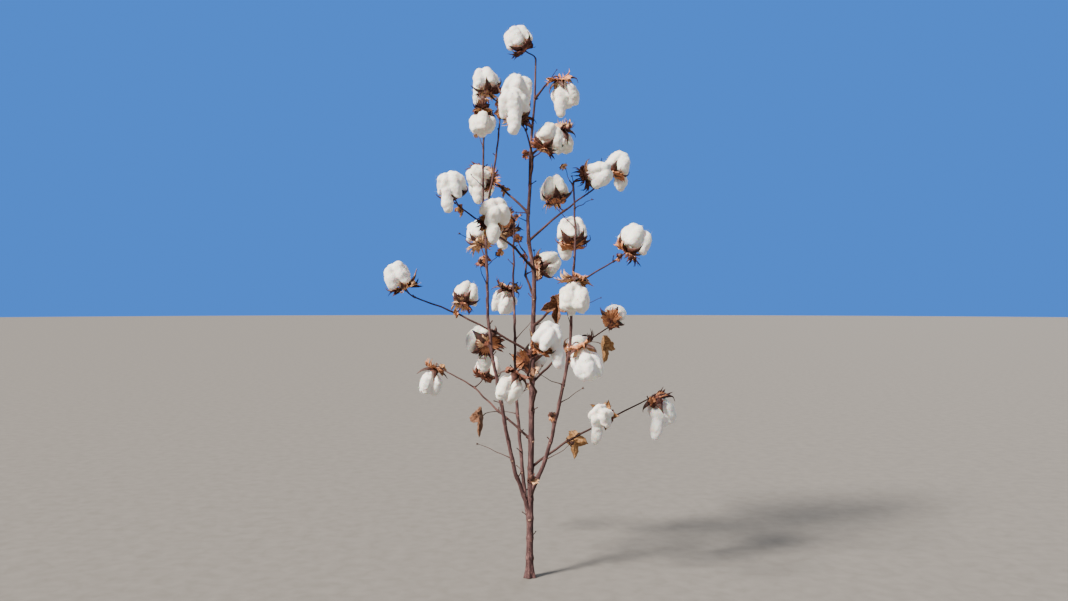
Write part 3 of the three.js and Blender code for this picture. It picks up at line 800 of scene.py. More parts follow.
def even_path(points, step):
    """A polyline at even steps with its corners eased, and how far along it each point lies."""
    points = np.array(points)
    lengths = np.concatenate([[0], np.cumsum(np.linalg.norm(np.diff(points, axis=0), axis=1))])
    along = np.linspace(0, lengths[-1], max(FEWEST_STEPS, round(lengths[-1] / step)) + 1)
    path = np.stack([np.interp(along, lengths, points[:, axis]) for axis in range(3)], axis=1)
    for _ in range(EASING_PASSES):
        path[1:-1] = (path[:-2] + 2 * path[1:-1] + path[2:]) / 4
    return path, along


def wavers(points, size, phase):
    """A smooth random shift for each point, of about half a unit. Its bends are as long as the size."""
    return np.array([noise.noise_vector(Vector(point / size) + Vector((phase, 0, 0))) for point in points])


def rounded(path, girth, along):
    """The strand of a path and its girths, with two more points that round off its tip."""
    tip = girth[-1] * np.array(TIP_STEPS)
    path = np.vstack([path, path[-1] + np.outer(tip, unit(path[-1] - path[-2]))])
    girth = np.append(girth, girth[-1] * np.array(TIP_GIRTHS))
    return SimpleNamespace(path=path, girth=girth, along=np.append(along, along[-1] + tip))


def trace(limb, phase, step, nodes, swelling):
    """The strand of bark for one limb: its path and girth, with a swelling at each node. A limb starts in the
    middle of what bears it, no thicker than that."""
    path, along = even_path(limb.points, step)
    girth = np.array([plain_girth(limb, s, p[2]) for s, p in zip(along / along[-1], path)])
    for node in nodes:
        girth *= 1 + swelling * swell_near(along - node, NODE_REACH)
    if limb.name != "main_stem":
        loose = np.minimum(1, along / FIXED_FOOT) * np.minimum(1, (along[-1] - along) / FIXED_TIP)
        path += BOW * loose[:, None] * wavers(path, BOW_SIZE, phase)
        girth *= 1 + COLLAR_SWELLING * np.exp(-along / (COLLAR_REACH * girth[0]))
        girth = np.minimum(girth, bearer_radius(limb) + along)
    strand = rounded(path, girth, along)
    strand.nodes = [int(np.searchsorted(along, node)) for node in nodes if node < along[-1]]
    return strand


def strands_mesh(name, strands):
    """An edge-only mesh of paths. Each point knows its girth, its place along the path and its strand."""
    mesh = bpy.data.meshes.new(name)
    counts = [len(strand.path) for strand in strands]
    starts = np.cumsum([0, *counts])
    edges = [(i, i + 1) for start, end in zip(starts, starts[1:]) for i in range(start, end - 1)]
    mesh.from_pydata(np.concatenate([strand.path for strand in strands]) * MM, edges, [])
    values = {"girth": np.concatenate([strand.girth for strand in strands]),
              "along": np.concatenate([strand.along for strand in strands]),
              "strand": np.repeat(np.arange(len(strands)) * STRAND_GAP, counts)}
    for key, numbers in values.items():
        mesh.attributes.new(key, "FLOAT", "POINT").data.foreach_set("value", numbers * MM)
    return place_in_scene(name, mesh)


def joint_places(limb):
    """How far along a branch its joints lie."""
    length = sum(np.linalg.norm(b - a) for a, b in zip(limb.points, limb.points[1:]))
    return [length * joint / limb.joints for joint in range(1, limb.joints)]


# %% The bark of the main stem, the side stems and the branches
STEM_STEP = 2.0
LIMB_STEP = 2.5
# Each limb wavers by a phase of its own, and these are the first ones.
SIDE_STEM_PHASE = 1
BRANCH_PHASE = 10

stem, side_stems, branches = limbs[0], limbs[1:-BRANCH_COUNT], limbs[-BRANCH_COUNT:]
stem_nodes = [NODE_STEP * i for i in range(1, int(FIRST_BRANCH / NODE_STEP))]
stem_nodes += [branch_height(k) for k in range(BRANCH_COUNT)]
side_nodes = np.arange(NODE_STEP, STEM_HEIGHT, NODE_STEP)
stem_strand = trace(stem, 0, STEM_STEP, stem_nodes, NODE_SWELLING)
side_strands = [trace(limb, SIDE_STEM_PHASE + i, LIMB_STEP, side_nodes, NODE_SWELLING)
                for i, limb in enumerate(side_stems)]
branch_strands = [trace(limb, BRANCH_PHASE + i, LIMB_STEP, joint_places(limb), JOINT_SWELLING)
                  for i, limb in enumerate(branches)]

stem_bark = strands_mesh("stem_bark", [stem_strand])
grow(stem_bark, BARK_TREE, sides=48, ridge_width=0.0032, ridge_length=0.045, ridge_share=0.22,
     bark=STEM_BARK, cork=PORE_CORK)
side_stem_bark = strands_mesh("side_stem_bark", side_strands)
grow(side_stem_bark, BARK_TREE, sides=24, ridge_width=0.0026, ridge_length=0.035, ridge_share=0.2,
     bark=STEM_BARK, cork=PORE_CORK)
branch_bark = strands_mesh("branch_bark", branch_strands)
grow(branch_bark, BARK_TREE, sides=18, ridge_width=0.002, ridge_length=0.025, ridge_share=0.22, pores=6000.0,
     pore_size=0.0005, bark=TWIG_BARK, cork=PORE_CORK)

# %% Spread the foot into the shoulders of its roots, and keep it on the ground
# Two waves round the foot: how many shoulders each has, where they start, and how far they stand out.
SHOULDERS = ((3, 0.6, 1.5), (5, 2.0, 1.9))
SHOULDER_HEIGHT = 17

places = np.array([vertex.co for vertex in stem_bark.data.vertices]) / MM
turns = np.arctan2(places[:, 1], places[:, 0])
push = sum(size * np.cos(count * turns + phase) for count, phase, size in SHOULDERS) + SHOULDERS[0][2]
push *= np.exp(-places[:, 2] / SHOULDER_HEIGHT)
places[:, :2] *= 1 + (push / np.hypot(places[:, 0], places[:, 1]))[:, None]
places[:, 2] = np.maximum(places[:, 2], 0)
stem_bark.data.vertices.foreach_set("co", (places * MM).ravel())
print("the roots' shoulders spread the foot by up to", round(float(push.max()), 1), "mm")

# %% [markdown]
# ## Stalks, hooks and bare twigs
# A boll hangs on a thin stalk that leaves its seat, bends, and swells where it meets the boll. Everything
# that once grew on the plant has left a trace: dry hooks where a leaf stalk broke off, thin bare twigs that
# end in a dead bud or a small boll that never opened, and a broad scar under each node. Hooks and twigs are
# thin strands too, so the same tree sweeps them. A long twig grows only where no boll is in its way.

# %% The stalks of the bolls
STALK_RADIUS = 1.5
STALK_FOOT = 0.7
STALK_FOOT_REACH = 5
STALK_HUB = 1.3
STALK_HUB_REACH = 6
STALK_END = 3
STALK_SHARES = np.linspace(0, 1, 25)
THIN_STEP = 2.0
TIP_LEAD = 14
SIDE_LEAD = 2 / 3


def curve_through(controls, shares):
    """Points on the cubic curve of four controls."""
    s = np.asarray(shares)[:, None]
    a, b, c, d = np.array(controls, dtype=float)
    return (1 - s) ** 3 * a + 3 * s * (1 - s) ** 2 * b + 3 * s ** 2 * (1 - s) * c + s ** 3 * d


def stalk_strand(boll):
    """The stalk of a boll. At its limb's tip it first grows on the limb's way, and elsewhere it forks off."""
    seat = boll.seat
    end = boll.hub - boll.axis * STALK_END * boll.size
    lead = seat.at + seat.onward * TIP_LEAD if seat.at_tip else mix(seat.at, boll.elbow, SIDE_LEAD)
    path, along = even_path(curve_through((seat.at, lead, boll.elbow, end), STALK_SHARES), THIN_STEP)
    foot = STALK_FOOT * swell_near(along, STALK_FOOT_REACH)
    hub = STALK_HUB * swell_near(along[-1] - along, STALK_HUB_REACH)
    girth = np.minimum(STALK_RADIUS * (1 + foot + hub), STALK_RADIUS + along)
    return SimpleNamespace(path=path, girth=girth, along=along)


for limb in limbs:
    for seat in limb.seats:
        seat.onward = unit(limb.points[-1] - limb.points[-2])
stalks = [stalk_strand(boll) for boll in bolls]
print(len(stalks), "stalks, the longest", round(max(stalk.along[-1] for stalk in stalks)), "mm")

# %% What is left of dead shoots
SHOOT_FOOT = 1.5
SHOOT_FOOT_REACH = 3
SHOOT_WAVER = 3.6
WAVER_REACH = 30
SHOOT_LIFT = 0.2
FEWEST_POINTS = 6
KNOB_REACH = 2
HOOK = SimpleNamespace(length=(6, 16), radius=1.0, curl=(0.15, 0.35), tip=0.75, knob=0.7)
PAST_THE_LAST_BOLL = SimpleNamespace(length=(14, 34), radius=1.2, curl=(0.1, 0.25), tip=0.5, knob=0)
LONG_TWIG = SimpleNamespace(length=(38, 92), radius=1.15, curl=(0.02, 0.1), tip=0.5, knob=0)
BARE_TWIG = {"radius": 1.1, "tip": 0.5, "knob": 0}
BARE_TWIGS = (
    SimpleNamespace(height=1027, azimuth=8, rise=-8, length=(66, 66), curl=(0.05, 0.05), **BARE_TWIG),
    SimpleNamespace(height=842, azimuth=190, rise=20, length=(24, 24), curl=(0.1, 0.1), **BARE_TWIG),
    SimpleNamespace(height=735, azimuth=75, rise=25, length=(44, 44), curl=(0.06, 0.06), **BARE_TWIG),
)
shoots, buds = [], []


def add_shoot(at, way, kind, draw, with_bud=False):
    """A thin dead shoot from a point of a limb. It curls up and sideways, and ends in a knob or a bud."""
    length, curl = draw.uniform(*kind.length), draw.uniform(*kind.curl)
    side = unit(np.cross(way, UP) + SHOOT_LIFT * UP) * draw.choice((-1, 1))
    share = np.linspace(0, 1, max(FEWEST_POINTS, round(length / THIN_STEP)))
    path = at + length * (np.outer(share, way) + np.outer(curl * share ** 2, UP + side))
    along = length * share
    loose = np.minimum(1, along / WAVER_REACH)[:, None]
    path += SHOOT_WAVER * loose * wavers(path, WAVER_REACH, len(shoots))
    foot = SHOOT_FOOT * np.exp(-along / SHOOT_FOOT_REACH)
    knob = kind.knob * swell_near(length - along, KNOB_REACH)
    shoots.append(rounded(path, kind.radius * (foot + mix(1.0, kind.tip, share) + knob), along))
    if with_bud:
        buds.append((path[-1], unit(path[-1] - path[-2])))


# %% Hooks and twigs at the seats, the nodes and on the bare stem
SHOOT_RISE = (5, 50)
SEAT_TURNS = (50, 120)
NODE_TURNS = (-30, 30)
ONWARD_BEND = 0.5
ONWARD_TURN = 70
ONWARD_RISE = 10
SUNK_IN_BARK = 0.7
LONG_TWIG_ODDS = 0.42
TWIG_ROOM = 5
TRIED_SHARES = (0.5, 1)
DICE_PER_STEM = 100
BARE_TWIG_DICE = 900

for limb in side_stems + branches:
    for seat in limb.seats + limb.bare_seats:
        draw = dice("hooks", len(shoots))
        away = heading(seat.azimuth - seat.side * draw.uniform(*SEAT_TURNS), draw.uniform(*SHOOT_RISE))
        add_shoot(seat.at, away, HOOK, draw)
        if seat.at_tip:
            aside = heading(seat.azimuth - seat.side * ONWARD_TURN, ONWARD_RISE)
            onward = unit(seat.at - limb.points[-2]) + ONWARD_BEND * aside
            add_shoot(seat.at, unit(onward), PAST_THE_LAST_BOLL, draw, with_bud=True)
for number, strand in enumerate([stem_strand, *side_strands]):
    for i, at in enumerate(strand.nodes[1:]):
        draw = dice("shoots", DICE_PER_STEM * number + i)
        way = heading(SPIRAL_TURN * i + draw.uniform(*NODE_TURNS), draw.uniform(*SHOOT_RISE))
        start = strand.path[at] + way * strand.girth[at] * SUNK_IN_BARK
        tries = [start + way * LONG_TWIG.length[1] * share for share in TRIED_SHARES]
        is_free = all(room_among_balls(place, TWIG_ROOM, bolls) > 0 for place in tries)
        if is_free and draw.uniform() < LONG_TWIG_ODDS:
            add_shoot(start, way, LONG_TWIG, draw, with_bud=True)
        else:
            add_shoot(start, way, HOOK, draw)
for i, twig in enumerate(BARE_TWIGS):
    add_shoot(stem_centre(twig.height), heading(twig.azimuth, twig.rise), twig,
              dice("shoots", BARE_TWIG_DICE + i), with_bud=True)
print(len(shoots), "hooks and twigs,", len(buds), "of them with a bud")

# %% Sweep thin bark along stalks and shoots
THIN_BARK = {"sides": 9, "ridge_width": 0.0012, "ridge_length": 0.015, "ridge_share": 0.25, "pores": 0.0,
             "bark": TWIG_BARK, "cork": PORE_CORK}
stalk_bark = strands_mesh("stalk_bark", stalks + shoots)
grow(stalk_bark, BARK_TREE, **THIN_BARK)

# %% [markdown]
# ## Dead buds, small bolls and scars
# A twig ends in a dead flower bud, shut between three flat scales, or in a small boll that dried up before
# it could open: an egg with a pointed tip and four shallow seams. Under each node of a stem lies the scar of
# the leaf that grew there, a flat oval of cork with a dot in it.

# %% The shape of a lump, and of a boll that never opened
BALL_POINTS, BALL_FACES = unit_ball(2)
SMALL_BALL = unit_ball(1)
SMALL_BOLL_ROWS = 12
SMALL_BOLL_COLUMNS = 20
SMALL_BOLL_WEAR = (0.93, 1.07)
EGG_FULLNESS = 0.75
EGG_LENGTH = 2.5
EGG_SUNK = 0.2
SEAMS = 4
SEAM_DEPTH = 0.13
SEAM_WIDTH = 0.2


def lump(pile, middle, directions, half_sizes, finish=0, ball=(BALL_POINTS, BALL_FACES)):
    """A ball with three half sizes along three directions."""
    points, faces = ball
    pile.add(middle + points * np.array(half_sizes) @ directions, faces, finish)


def directions_along(axis):
    return np.array((*cross_axes(axis), axis))


def small_boll_shell(hub, axis, radius, draw):
    """A closed boll: an egg with a pointed tip and shallow seams."""
    share = np.linspace(0, 1, SMALL_BOLL_ROWS)[:, None]
    turn = np.linspace(0, FULL_TURN, SMALL_BOLL_COLUMNS, endpoint=False)
    quarter = FULL_TURN / SEAMS
    seams = 1 - SEAM_DEPTH * swell_near(turn % quarter - quarter / 2, SEAM_WIDTH)
    egg = np.sin(np.pi * share ** EGG_FULLNESS) ** EGG_FULLNESS
    egg[0] = egg[-1] = 0
    out = radius * egg * seams * draw.uniform(*SMALL_BOLL_WEAR, SMALL_BOLL_COLUMNS)
    level = np.broadcast_to(radius * (EGG_LENGTH * share - EGG_SUNK), out.shape)
    local = np.stack([out * np.cos(turn), out * np.sin(turn), level], axis=2).reshape(-1, 3)
    return hub + local @ directions_along(axis)


print("a lump has", len(BALL_FACES), "faces, and a small one has", len(SMALL_BALL[1]))

# %% Dead flower buds and small bolls at the twigs' ends
SMALL_BOLL_ODDS = 0.32
SMALL_BOLL_RADII = (4.5, 7.5)
SMALL_BOLL_HUB = 1.5
BOLL_RADIUS = 16
BUD_RADIUS = 2.3
BUD_SIZES = (0.7, 1.25)
BUD_SHAPE = (0.85, 0.7, 1.25)
BUD_MIDDLE = 0.7
SCALES = 3
SCALE_SHAPE = (0.2, 0.35, 1.5)
SCALE_MIDDLE = 1.3
SCALE_TURNS = (0, 0.5)
SCALE_LEANS = (0.5, 0.9)
# Each boll has a number that its dice are thrown for. Those of the small ones start here.
FIRST_SMALL_BOLL = 100


def add_bud(pile, tip, way, draw):
    """A dead flower bud, with three flat scales round it that lean out."""
    size = BUD_RADIUS * draw.uniform(*BUD_SIZES)
    first, second, _ = directions_along(way)
    lump(pile, tip + way * size * BUD_MIDDLE, directions_along(way), size * np.array(BUD_SHAPE))
    for i in range(SCALES):
        angle = FULL_TURN * (i + draw.uniform(*SCALE_TURNS)) / SCALES
        aside = first * math.cos(angle) + second * math.sin(angle)
        out = unit(way + draw.uniform(*SCALE_LEANS) * aside)
        lump(pile, tip + out * size * SCALE_MIDDLE, directions_along(out), size * np.array(SCALE_SHAPE),
             ball=SMALL_BALL)


bud_pile, small_bolls = Pile(), []
small_boll_faces = grid_faces(SMALL_BOLL_ROWS, SMALL_BOLL_COLUMNS, closed=True)
for i, (tip, way) in enumerate(buds):
    draw = dice("buds", i)
    if draw.uniform() < SMALL_BOLL_ODDS:
        radius = draw.uniform(*SMALL_BOLL_RADII)
        bud_pile.add(small_boll_shell(tip, way, radius, draw), small_boll_faces)
        small_bolls.append(SimpleNamespace(
            number=FIRST_SMALL_BOLL + i, hub=tip + way * SMALL_BOLL_HUB, axis=way,
            size=radius / BOLL_RADIUS, turn=draw.uniform(0, FULL_TURN)))
    else:
        add_bud(bud_pile, tip, way, draw)
print(len(buds) - len(small_bolls), "dead buds and", len(small_bolls), "small bolls")

# %% The scars under the nodes
SCAR_BELOW = 5
SCAR_SHAPE = (0.42, 0.3, 0.16)
SCAR_DOT_SHAPE = (0.19, 0.11, 0.11)
SCAR_DOT_RISE = 0.09
SCAR_SUNK = 0.5
SCAR_TURN = -7

scar_pile = Pile()
for strand in (stem_strand, *side_strands):
    for i, at in enumerate(strand.nodes):
        way = unit(strand.path[at] - strand.path[at - 1])
        sideways = unit(np.cross(way, heading(SPIRAL_TURN * i + SCAR_TURN)))
        out = np.cross(sideways, way)
        girth = strand.girth[at]
        middle = strand.path[at] - way * SCAR_BELOW + out * (girth - SCAR_SUNK)
        directions = np.array((sideways, way, out))
        lump(scar_pile, middle, directions, girth * np.array(SCAR_SHAPE))
        lump(scar_pile, middle + out * girth * SCAR_DOT_RISE, directions, girth * np.array(SCAR_DOT_SHAPE),
             ball=SMALL_BALL)
scars = scar_pile.piece("leaf_scars", [PORE_CORK])
print("the scars have", triangles(scars), "triangles")

# %% [markdown]
# ## The burs
# The bur is the dry boll itself. It has split into four or five woody valves that are joined at their feet.
# Each is a pointed boat, dark and rough outside, tan and glossy inside, and its sharp tip curves up in the
# crease between two locks of lint. A valve starts as a curved sheet, wide in the middle, and gets its wall
# from a Solidify modifier, whose second skin takes the lighter finish.

# %% The finishes of a bur
# Dry woody husk, weathered: dark and softly blotched, with a faint shine where it is worn.
BUR_HUSK = natural_finish(
    "weathered bur husk", ((0.32, "27140F"), (0.52, "452820"), (0.72, "71483A")),
    (pattern(7, 7, 7, depth=0.6, detail=4.0, distortion=0.6), pattern(0.9, 0.9, 0.9, depth=0.35, detail=2.0)),
    blend=0.2, Roughness=0.6, Specular_IOR_Level=0.4)

# The inside of the husk, smooth as parchment: tan, with a soft gloss that the lint has polished.
BUR_INSIDE = natural_finish(
    "tan inner husk", ((0.3, "8A5C3C"), (0.55, "B98A5C"), (0.75, "D6B083")),
    (pattern(6, 6, 6), pattern(0.7, 0.7, 0.7, depth=0.15, detail=2.0)),
    Roughness=0.45, Specular_IOR_Level=0.4)

# %% Boat-shaped valves with recurved claws, joined in a cup
VALVE_REACH = 41
VALVE_REACHES = (0.92, 1.04)
VALVE_RISE = 24
VALVE_RISES = (0.7, 1.1)
CUP_FLOOR = -3
CUP_TURN = 0.07
VALVE_ROWS = 15
VALVE_COLUMNS = 9
VALVE_WALL = 1.3
VALVE_FOOT = (2, -5)
VALVE_BELLY = (15, -10)
SHOULDER_OUT = 0.9
SHOULDER_UP = 0.2
# Half the width of a valve at shares of its length, from its foot to its claw
VALVE_HALF_WIDTHS = ((0, 2.5), (0.15, 8.5), (0.35, 10.8), (0.6, 7.8), (0.8, 3.6), (0.92, 1.5), (1, 0.3))
VALVE_WIDTHS = (0.9, 1.12)
VALVE_CUP = 0.55
KEEL = 1.2
KEEL_WIDTH = 0.18
VALVE_ROUGHNESS = 0.12
VALVE_TWIST = (-2, 2)
CLAW = 7
CLAW_FROM = 0.8
CLAW_BENDS = (-0.6, 1.0)
CLAW_WAY = (-0.7, 0.8)


def boll_frame(boll, angle):
    """The outward, sideways and axial directions at an angle round a boll, as rows."""
    first, second = cross_axes(boll.axis)
    outward = first * math.cos(angle) + second * math.sin(angle)
    return np.array((outward, np.cross(boll.axis, outward), boll.axis))


def on_boll(boll, angle, local):
    """Points given by their outward, sideways and axial measures at size 1, in the plant's own place."""
    return boll.hub + boll.size * local @ boll_frame(boll, angle)


def valve_sheet(boll, i, draw):
    """One valve. Its spine runs down, out and up to the claw, and its sides are cupped round the lint."""
    key = boll.number * KEYS_EACH + 2 * i
    tip_out = VALVE_REACH * between(key, TRAIT.valve_reach, VALVE_REACHES)
    tip_up = CUP_FLOOR + VALVE_RISE * between(key, TRAIT.valve_rise, VALVE_RISES)
    shares = np.linspace(0, 1, VALVE_ROWS)
    shoulder = (SHOULDER_OUT * tip_out, SHOULDER_UP * tip_up + CUP_FLOOR)
    spine = curve_through((VALVE_FOOT, VALVE_BELLY, shoulder, (tip_out, tip_up)), shares)
    curl = CLAW * draw.uniform(*CLAW_BENDS) * np.clip((shares - CLAW_FROM) / (1 - CLAW_FROM), 0, 1) ** 2
    spine += np.outer(curl, CLAW_WAY)
    slope = np.gradient(spine, axis=0)
    inward = np.stack([-slope[:, 1], slope[:, 0]], axis=1) / np.linalg.norm(slope, axis=1)[:, None]
    widths = np.interp(shares, *zip(*VALVE_HALF_WIDTHS)) * draw.uniform(*VALVE_WIDTHS)
    across = np.linspace(-1, 1, VALVE_COLUMNS)
    lift = VALVE_CUP * np.outer(widths, across ** 2)
    lift += KEEL * np.outer(np.sin(np.pi * shares), swell_near(across, KEEL_WIDTH))
    lift += draw.normal(0, VALVE_ROUGHNESS, lift.shape)
    sideways = np.outer(widths, across) + draw.uniform(*VALVE_TWIST) * shares[:, None] ** 2
    local = np.stack([spine[:, 0, None] + inward[:, 0, None] * lift, sideways,
                      spine[:, 1, None] + inward[:, 1, None] * lift], axis=2)
    angle = boll.turn + CUP_TURN + FULL_TURN * i / boll.locks
    return on_boll(boll, angle, local.reshape(-1, 3))


valve_pile = Pile()
for boll in bolls:
    draw = dice("valves", boll.number)
    for i in range(boll.locks):
        valve_pile.add(valve_sheet(boll, i, draw), grid_faces(VALVE_ROWS, VALVE_COLUMNS))
burs = valve_pile.piece("burs", [BUR_HUSK, BUR_INSIDE])
thicken(burs, VALVE_WALL, offset=-1, material_offset=1)
dead_buds = bud_pile.piece("dead_buds", [BUR_HUSK])

# %% [markdown]
# ## The bracts
# Under each boll sit three papery bracts. They are broad leaves with a fringe of long teeth, and on a
# ripe plant they are crisp, curled, and straw brown to dark red brown. A sheet in a fan of rows and columns
# gives the outline: its outermost row runs out to each tooth and back to each notch. The fan is pleated,
# folded along its keel, rippled, and curled at the teeth. Each bract takes one of four plain tints, and the
# teeth are often the darkest one.

# %% The finishes of dry leaf, from straw to dark red brown
# Dead leaf tissue, crisp and matt: thin, mottled, and darker along its fine veins.
def dry_leaf_finish(name, dark, middle, light):
    mottle = pattern(5, 5, 5, depth=0.5, detail=4.0, distortion=0.8)
    veins = pattern(1.1, 1.1, 1.1, depth=0.3)
    return natural_finish(name, ((0.32, dark), (0.5, middle), (0.68, light)), (mottle, veins), blend=0.3,
                          Roughness=0.78, Specular_IOR_Level=0.3)


BRACT_TINTS = [dry_leaf_finish("dry bract, sunburnt", "7E472C", "BE7C54", "E2A97F"),
               dry_leaf_finish("dry bract, red brown", "4A241B", "85503D", "B47A5E"),
               dry_leaf_finish("dry bract, dark brown", "24130F", "492823", "724536"),
               dry_leaf_finish("dry bract, straw", "996C49", "CFA178", "ECCAA2")]
TINT_ODDS = (0.4, 0.18, 0.1, 0.32)
DARK_TINT = 2
SAME_TINT_ODDS = 0.6
DARK_TEETH_ODDS = 0.38

# %% Three fringed and curled bracts to a boll
BRACTS_EACH = 3
BRACT_TURN = 1
BRACT_DROOP = (-12, 1)
BRACT_REACH = 32
BRACT_BODY = 26
BRACT_BODIES = (0.85, 1.12)
# The body of a bract reaches out by two shares, one everywhere and one on a wave that is highest midway.
BODY_EVERYWHERE = 0.6
BODY_MIDWAY = 0.4
BODY_PACE = 1.25
FULL_BRACT = SimpleNamespace(teeth=9, rows=9)
SMALL_BRACT = SimpleNamespace(teeth=7, rows=6)
TOOTH_LENGTH = 19
TOOTH_LENGTHS = (0.45, 1.15)
TOOTH_SHORTENING = 0.35
TOOTH_COLUMNS = 4
TEETH_FROM = 5 / 8
ROW_CROWDING = 0.85
BRACT_HALF_ANGLE = math.radians(60)
FAN_AT_FOOT = 1.15
FAN_NARROWING = 0.3
FAN_WEAR = 0.05
BRACT_FOOT = 3
BRACT_LEVEL = -5
BRACT_WALL = 0.5
PLEAT_DEPTH = (0.8, 2.4)
RIPPLE_DEPTH = (0.8, 2.6)
RIPPLE_PACE = (3, 7)
ANY_PHASE = (0, 6)
KEEL_FOLD = (0.05, 0.35)
BRACT_CRUMPLE = 0.45
CURL_FROM = 21
BRACT_CURLS = (-0.09, 0.17)
TOOTH_CURLS = (-0.05, 0.05)
SLOPE_CHANGE = (-0.008, 0.012)


def bract_sheet(boll, j, kind, draw):
    """One bract: pleats run from its foot to its teeth, and each tooth curls by a bend of its own."""
    columns = kind.teeth * TOOTH_COLUMNS + 1
    side = np.linspace(-1, 1, columns)
    phase = np.arange(columns) / TOOTH_COLUMNS
    spike = 1 - np.abs(phase % 1 * 2 - 1)

    def for_each_tooth(span):
        return np.repeat(draw.uniform(*span, kind.teeth + 1), TOOTH_COLUMNS)[:columns]

    body = BRACT_BODY * (BODY_EVERYWHERE + BODY_MIDWAY * np.cos(side * BODY_PACE))
    body *= draw.uniform(*BRACT_BODIES)
    tooth = TOOTH_LENGTH * spike * for_each_tooth(TOOTH_LENGTHS) * (1 - TOOTH_SHORTENING * np.abs(side))
    share = np.linspace(0, 1, kind.rows)[:, None] ** ROW_CROWDING
    reach = BRACT_FOOT + share * (body + tooth)
    droop = between(boll.number * KEYS_EACH + j, TRAIT.bract_droop, BRACT_DROOP)
    curl = draw.uniform(*BRACT_CURLS) + for_each_tooth(TOOTH_CURLS)
    slope = math.atan2(droop - BRACT_LEVEL, BRACT_REACH) + draw.uniform(*SLOPE_CHANGE) * reach
    slope = slope + curl * np.clip(reach - CURL_FROM, 0, None)
    steps = np.diff(reach, axis=0, prepend=0)
    out, rise = np.cumsum(np.cos(slope) * steps, axis=0), np.cumsum(np.sin(slope) * steps, axis=0)
    angle = side * BRACT_HALF_ANGLE * (FAN_AT_FOOT - FAN_NARROWING * share)
    angle = angle + draw.normal(0, FAN_WEAR, columns) * share ** 2
    rise += BRACT_LEVEL + draw.uniform(*PLEAT_DEPTH) * np.cos(FULL_TURN * phase) * share
    depth, pace, start = (draw.uniform(*span) for span in (RIPPLE_DEPTH, RIPPLE_PACE, ANY_PHASE))
    rise += depth * np.sin(side * pace + start) * share
    rise -= draw.uniform(*KEEL_FOLD) * np.abs(side) * reach
    rise += draw.normal(0, BRACT_CRUMPLE, reach.shape) * share
    local = np.stack([out * np.cos(angle), out * np.sin(angle), rise], axis=2)
    middle = boll.turn + BRACT_TURN + FULL_TURN * (j + 0.5) / BRACTS_EACH
    return on_boll(boll, middle, local.reshape(-1, 3))


bract_pile = Pile()
for boll, kind in [(boll, FULL_BRACT) for boll in bolls] + [(boll, SMALL_BRACT) for boll in small_bolls]:
    draw = dice("bracts", boll.number)
    faces = grid_faces(kind.rows, kind.teeth * TOOTH_COLUMNS + 1)
    in_teeth = np.arange(len(faces)) >= int(len(faces) * TEETH_FROM)
    usual = draw.choice(len(BRACT_TINTS), p=TINT_ODDS)
    for j in range(BRACTS_EACH):
        tint = usual if draw.uniform() < SAME_TINT_ODDS else draw.choice(len(BRACT_TINTS), p=TINT_ODDS)
        tooth_tint = DARK_TINT if draw.uniform() < DARK_TEETH_ODDS else tint
        bract_pile.add(bract_sheet(boll, j, kind, draw), faces, np.where(in_teeth, tooth_tint, tint))
bracts = bract_pile.piece("bracts", BRACT_TINTS)
thicken(bracts, BRACT_WALL)

# %% A collar under each bur, where its stalk ends
# How far out and how high each ring of the bowl is, from the middle outside to the middle inside
COLLAR_ROWS = ((0, -9.6), (2.6, -9), (4.2, -7), (7.5, -6.2), (9.5, -5), (10.2, -3.2), (8.5, -3.6), (5, -4.4),
               (0, -4.6))
COLLAR_COLUMNS = 25
COLLAR_LOBES = 5
LOBE_DEPTH = 0.13
LOBE_WEAR = 0.02
# The lobes grow to their full depth over this length. They start at this share of it from the middle.
LOBE_GROWTH = 5
LOBE_START = 0.6


def collar_shell(boll, draw):
    """The dry cup of the old flower: a small bowl with a wavy rim of five lobes."""
    radii, levels = np.array(COLLAR_ROWS).T[:, :, None]
    turn = np.linspace(0, FULL_TURN, COLLAR_COLUMNS, endpoint=False)
    waves = LOBE_DEPTH * np.cos(COLLAR_LOBES * turn + draw.uniform(*ANY_PHASE))
    waves += draw.normal(0, LOBE_WEAR, COLLAR_COLUMNS)
    out = radii * (1 + waves * np.clip(radii / LOBE_GROWTH - LOBE_START, 0, 1))
    local = np.stack([out * np.cos(turn), out * np.sin(turn), np.broadcast_to(levels, out.shape)], axis=2)
    return on_boll(boll, 0, local.reshape(-1, 3))


collar_pile = Pile()
for boll in bolls:
    collar_pile.add(collar_shell(boll, dice("collars", boll.number)),
                    grid_faces(len(COLLAR_ROWS), COLLAR_COLUMNS, closed=True))
collars = collar_pile.piece("bur_collars", [BRACT_TINTS[1]])
print("the collars have", triangles(collars), "triangles")

# %% [markdown]
# ## The lint
# The white lint is what the plant is grown for. Each boll holds one lock of it for each gap between two
# valves: a soft lobe over its seeds, broad at the shoulders, with creases where the valves lie. In the wind
# some locks string out and hang. Soft lumps like these could be sculpted one by one. Here each lock is a few
# balls that overlap, and one more fills the heart of the boll. A voxel remesh melts them into one skin, and
# smoothing rounds the creases. A noise then raises puffs and tufts over all of it.

# %% The finish of lint
# Raw cotton: a mass of fine matt fibres that light enters, so its shade is soft, and its edge has a sheen.
def lint_finish(name, shade, middle, light):
    clouds = pattern(13, 13, 13)
    tufts = pattern(3.2, 3.2, 4.5, depth=0.75, detail=4.0, distortion=1.2)
    fibres = pattern(0.5, 0.5, 4.0, depth=0.3, distortion=2.2)
    return natural_finish(name, ((0.25, shade), (0.5, middle), (0.72, light)), (clouds, tufts, fibres),
                          Roughness=0.95, Specular_IOR_Level=0.15, Sheen_Weight=0.4, Sheen_Roughness=0.5,
                          Subsurface_Weight=0.35, Subsurface_Scale=0.007)


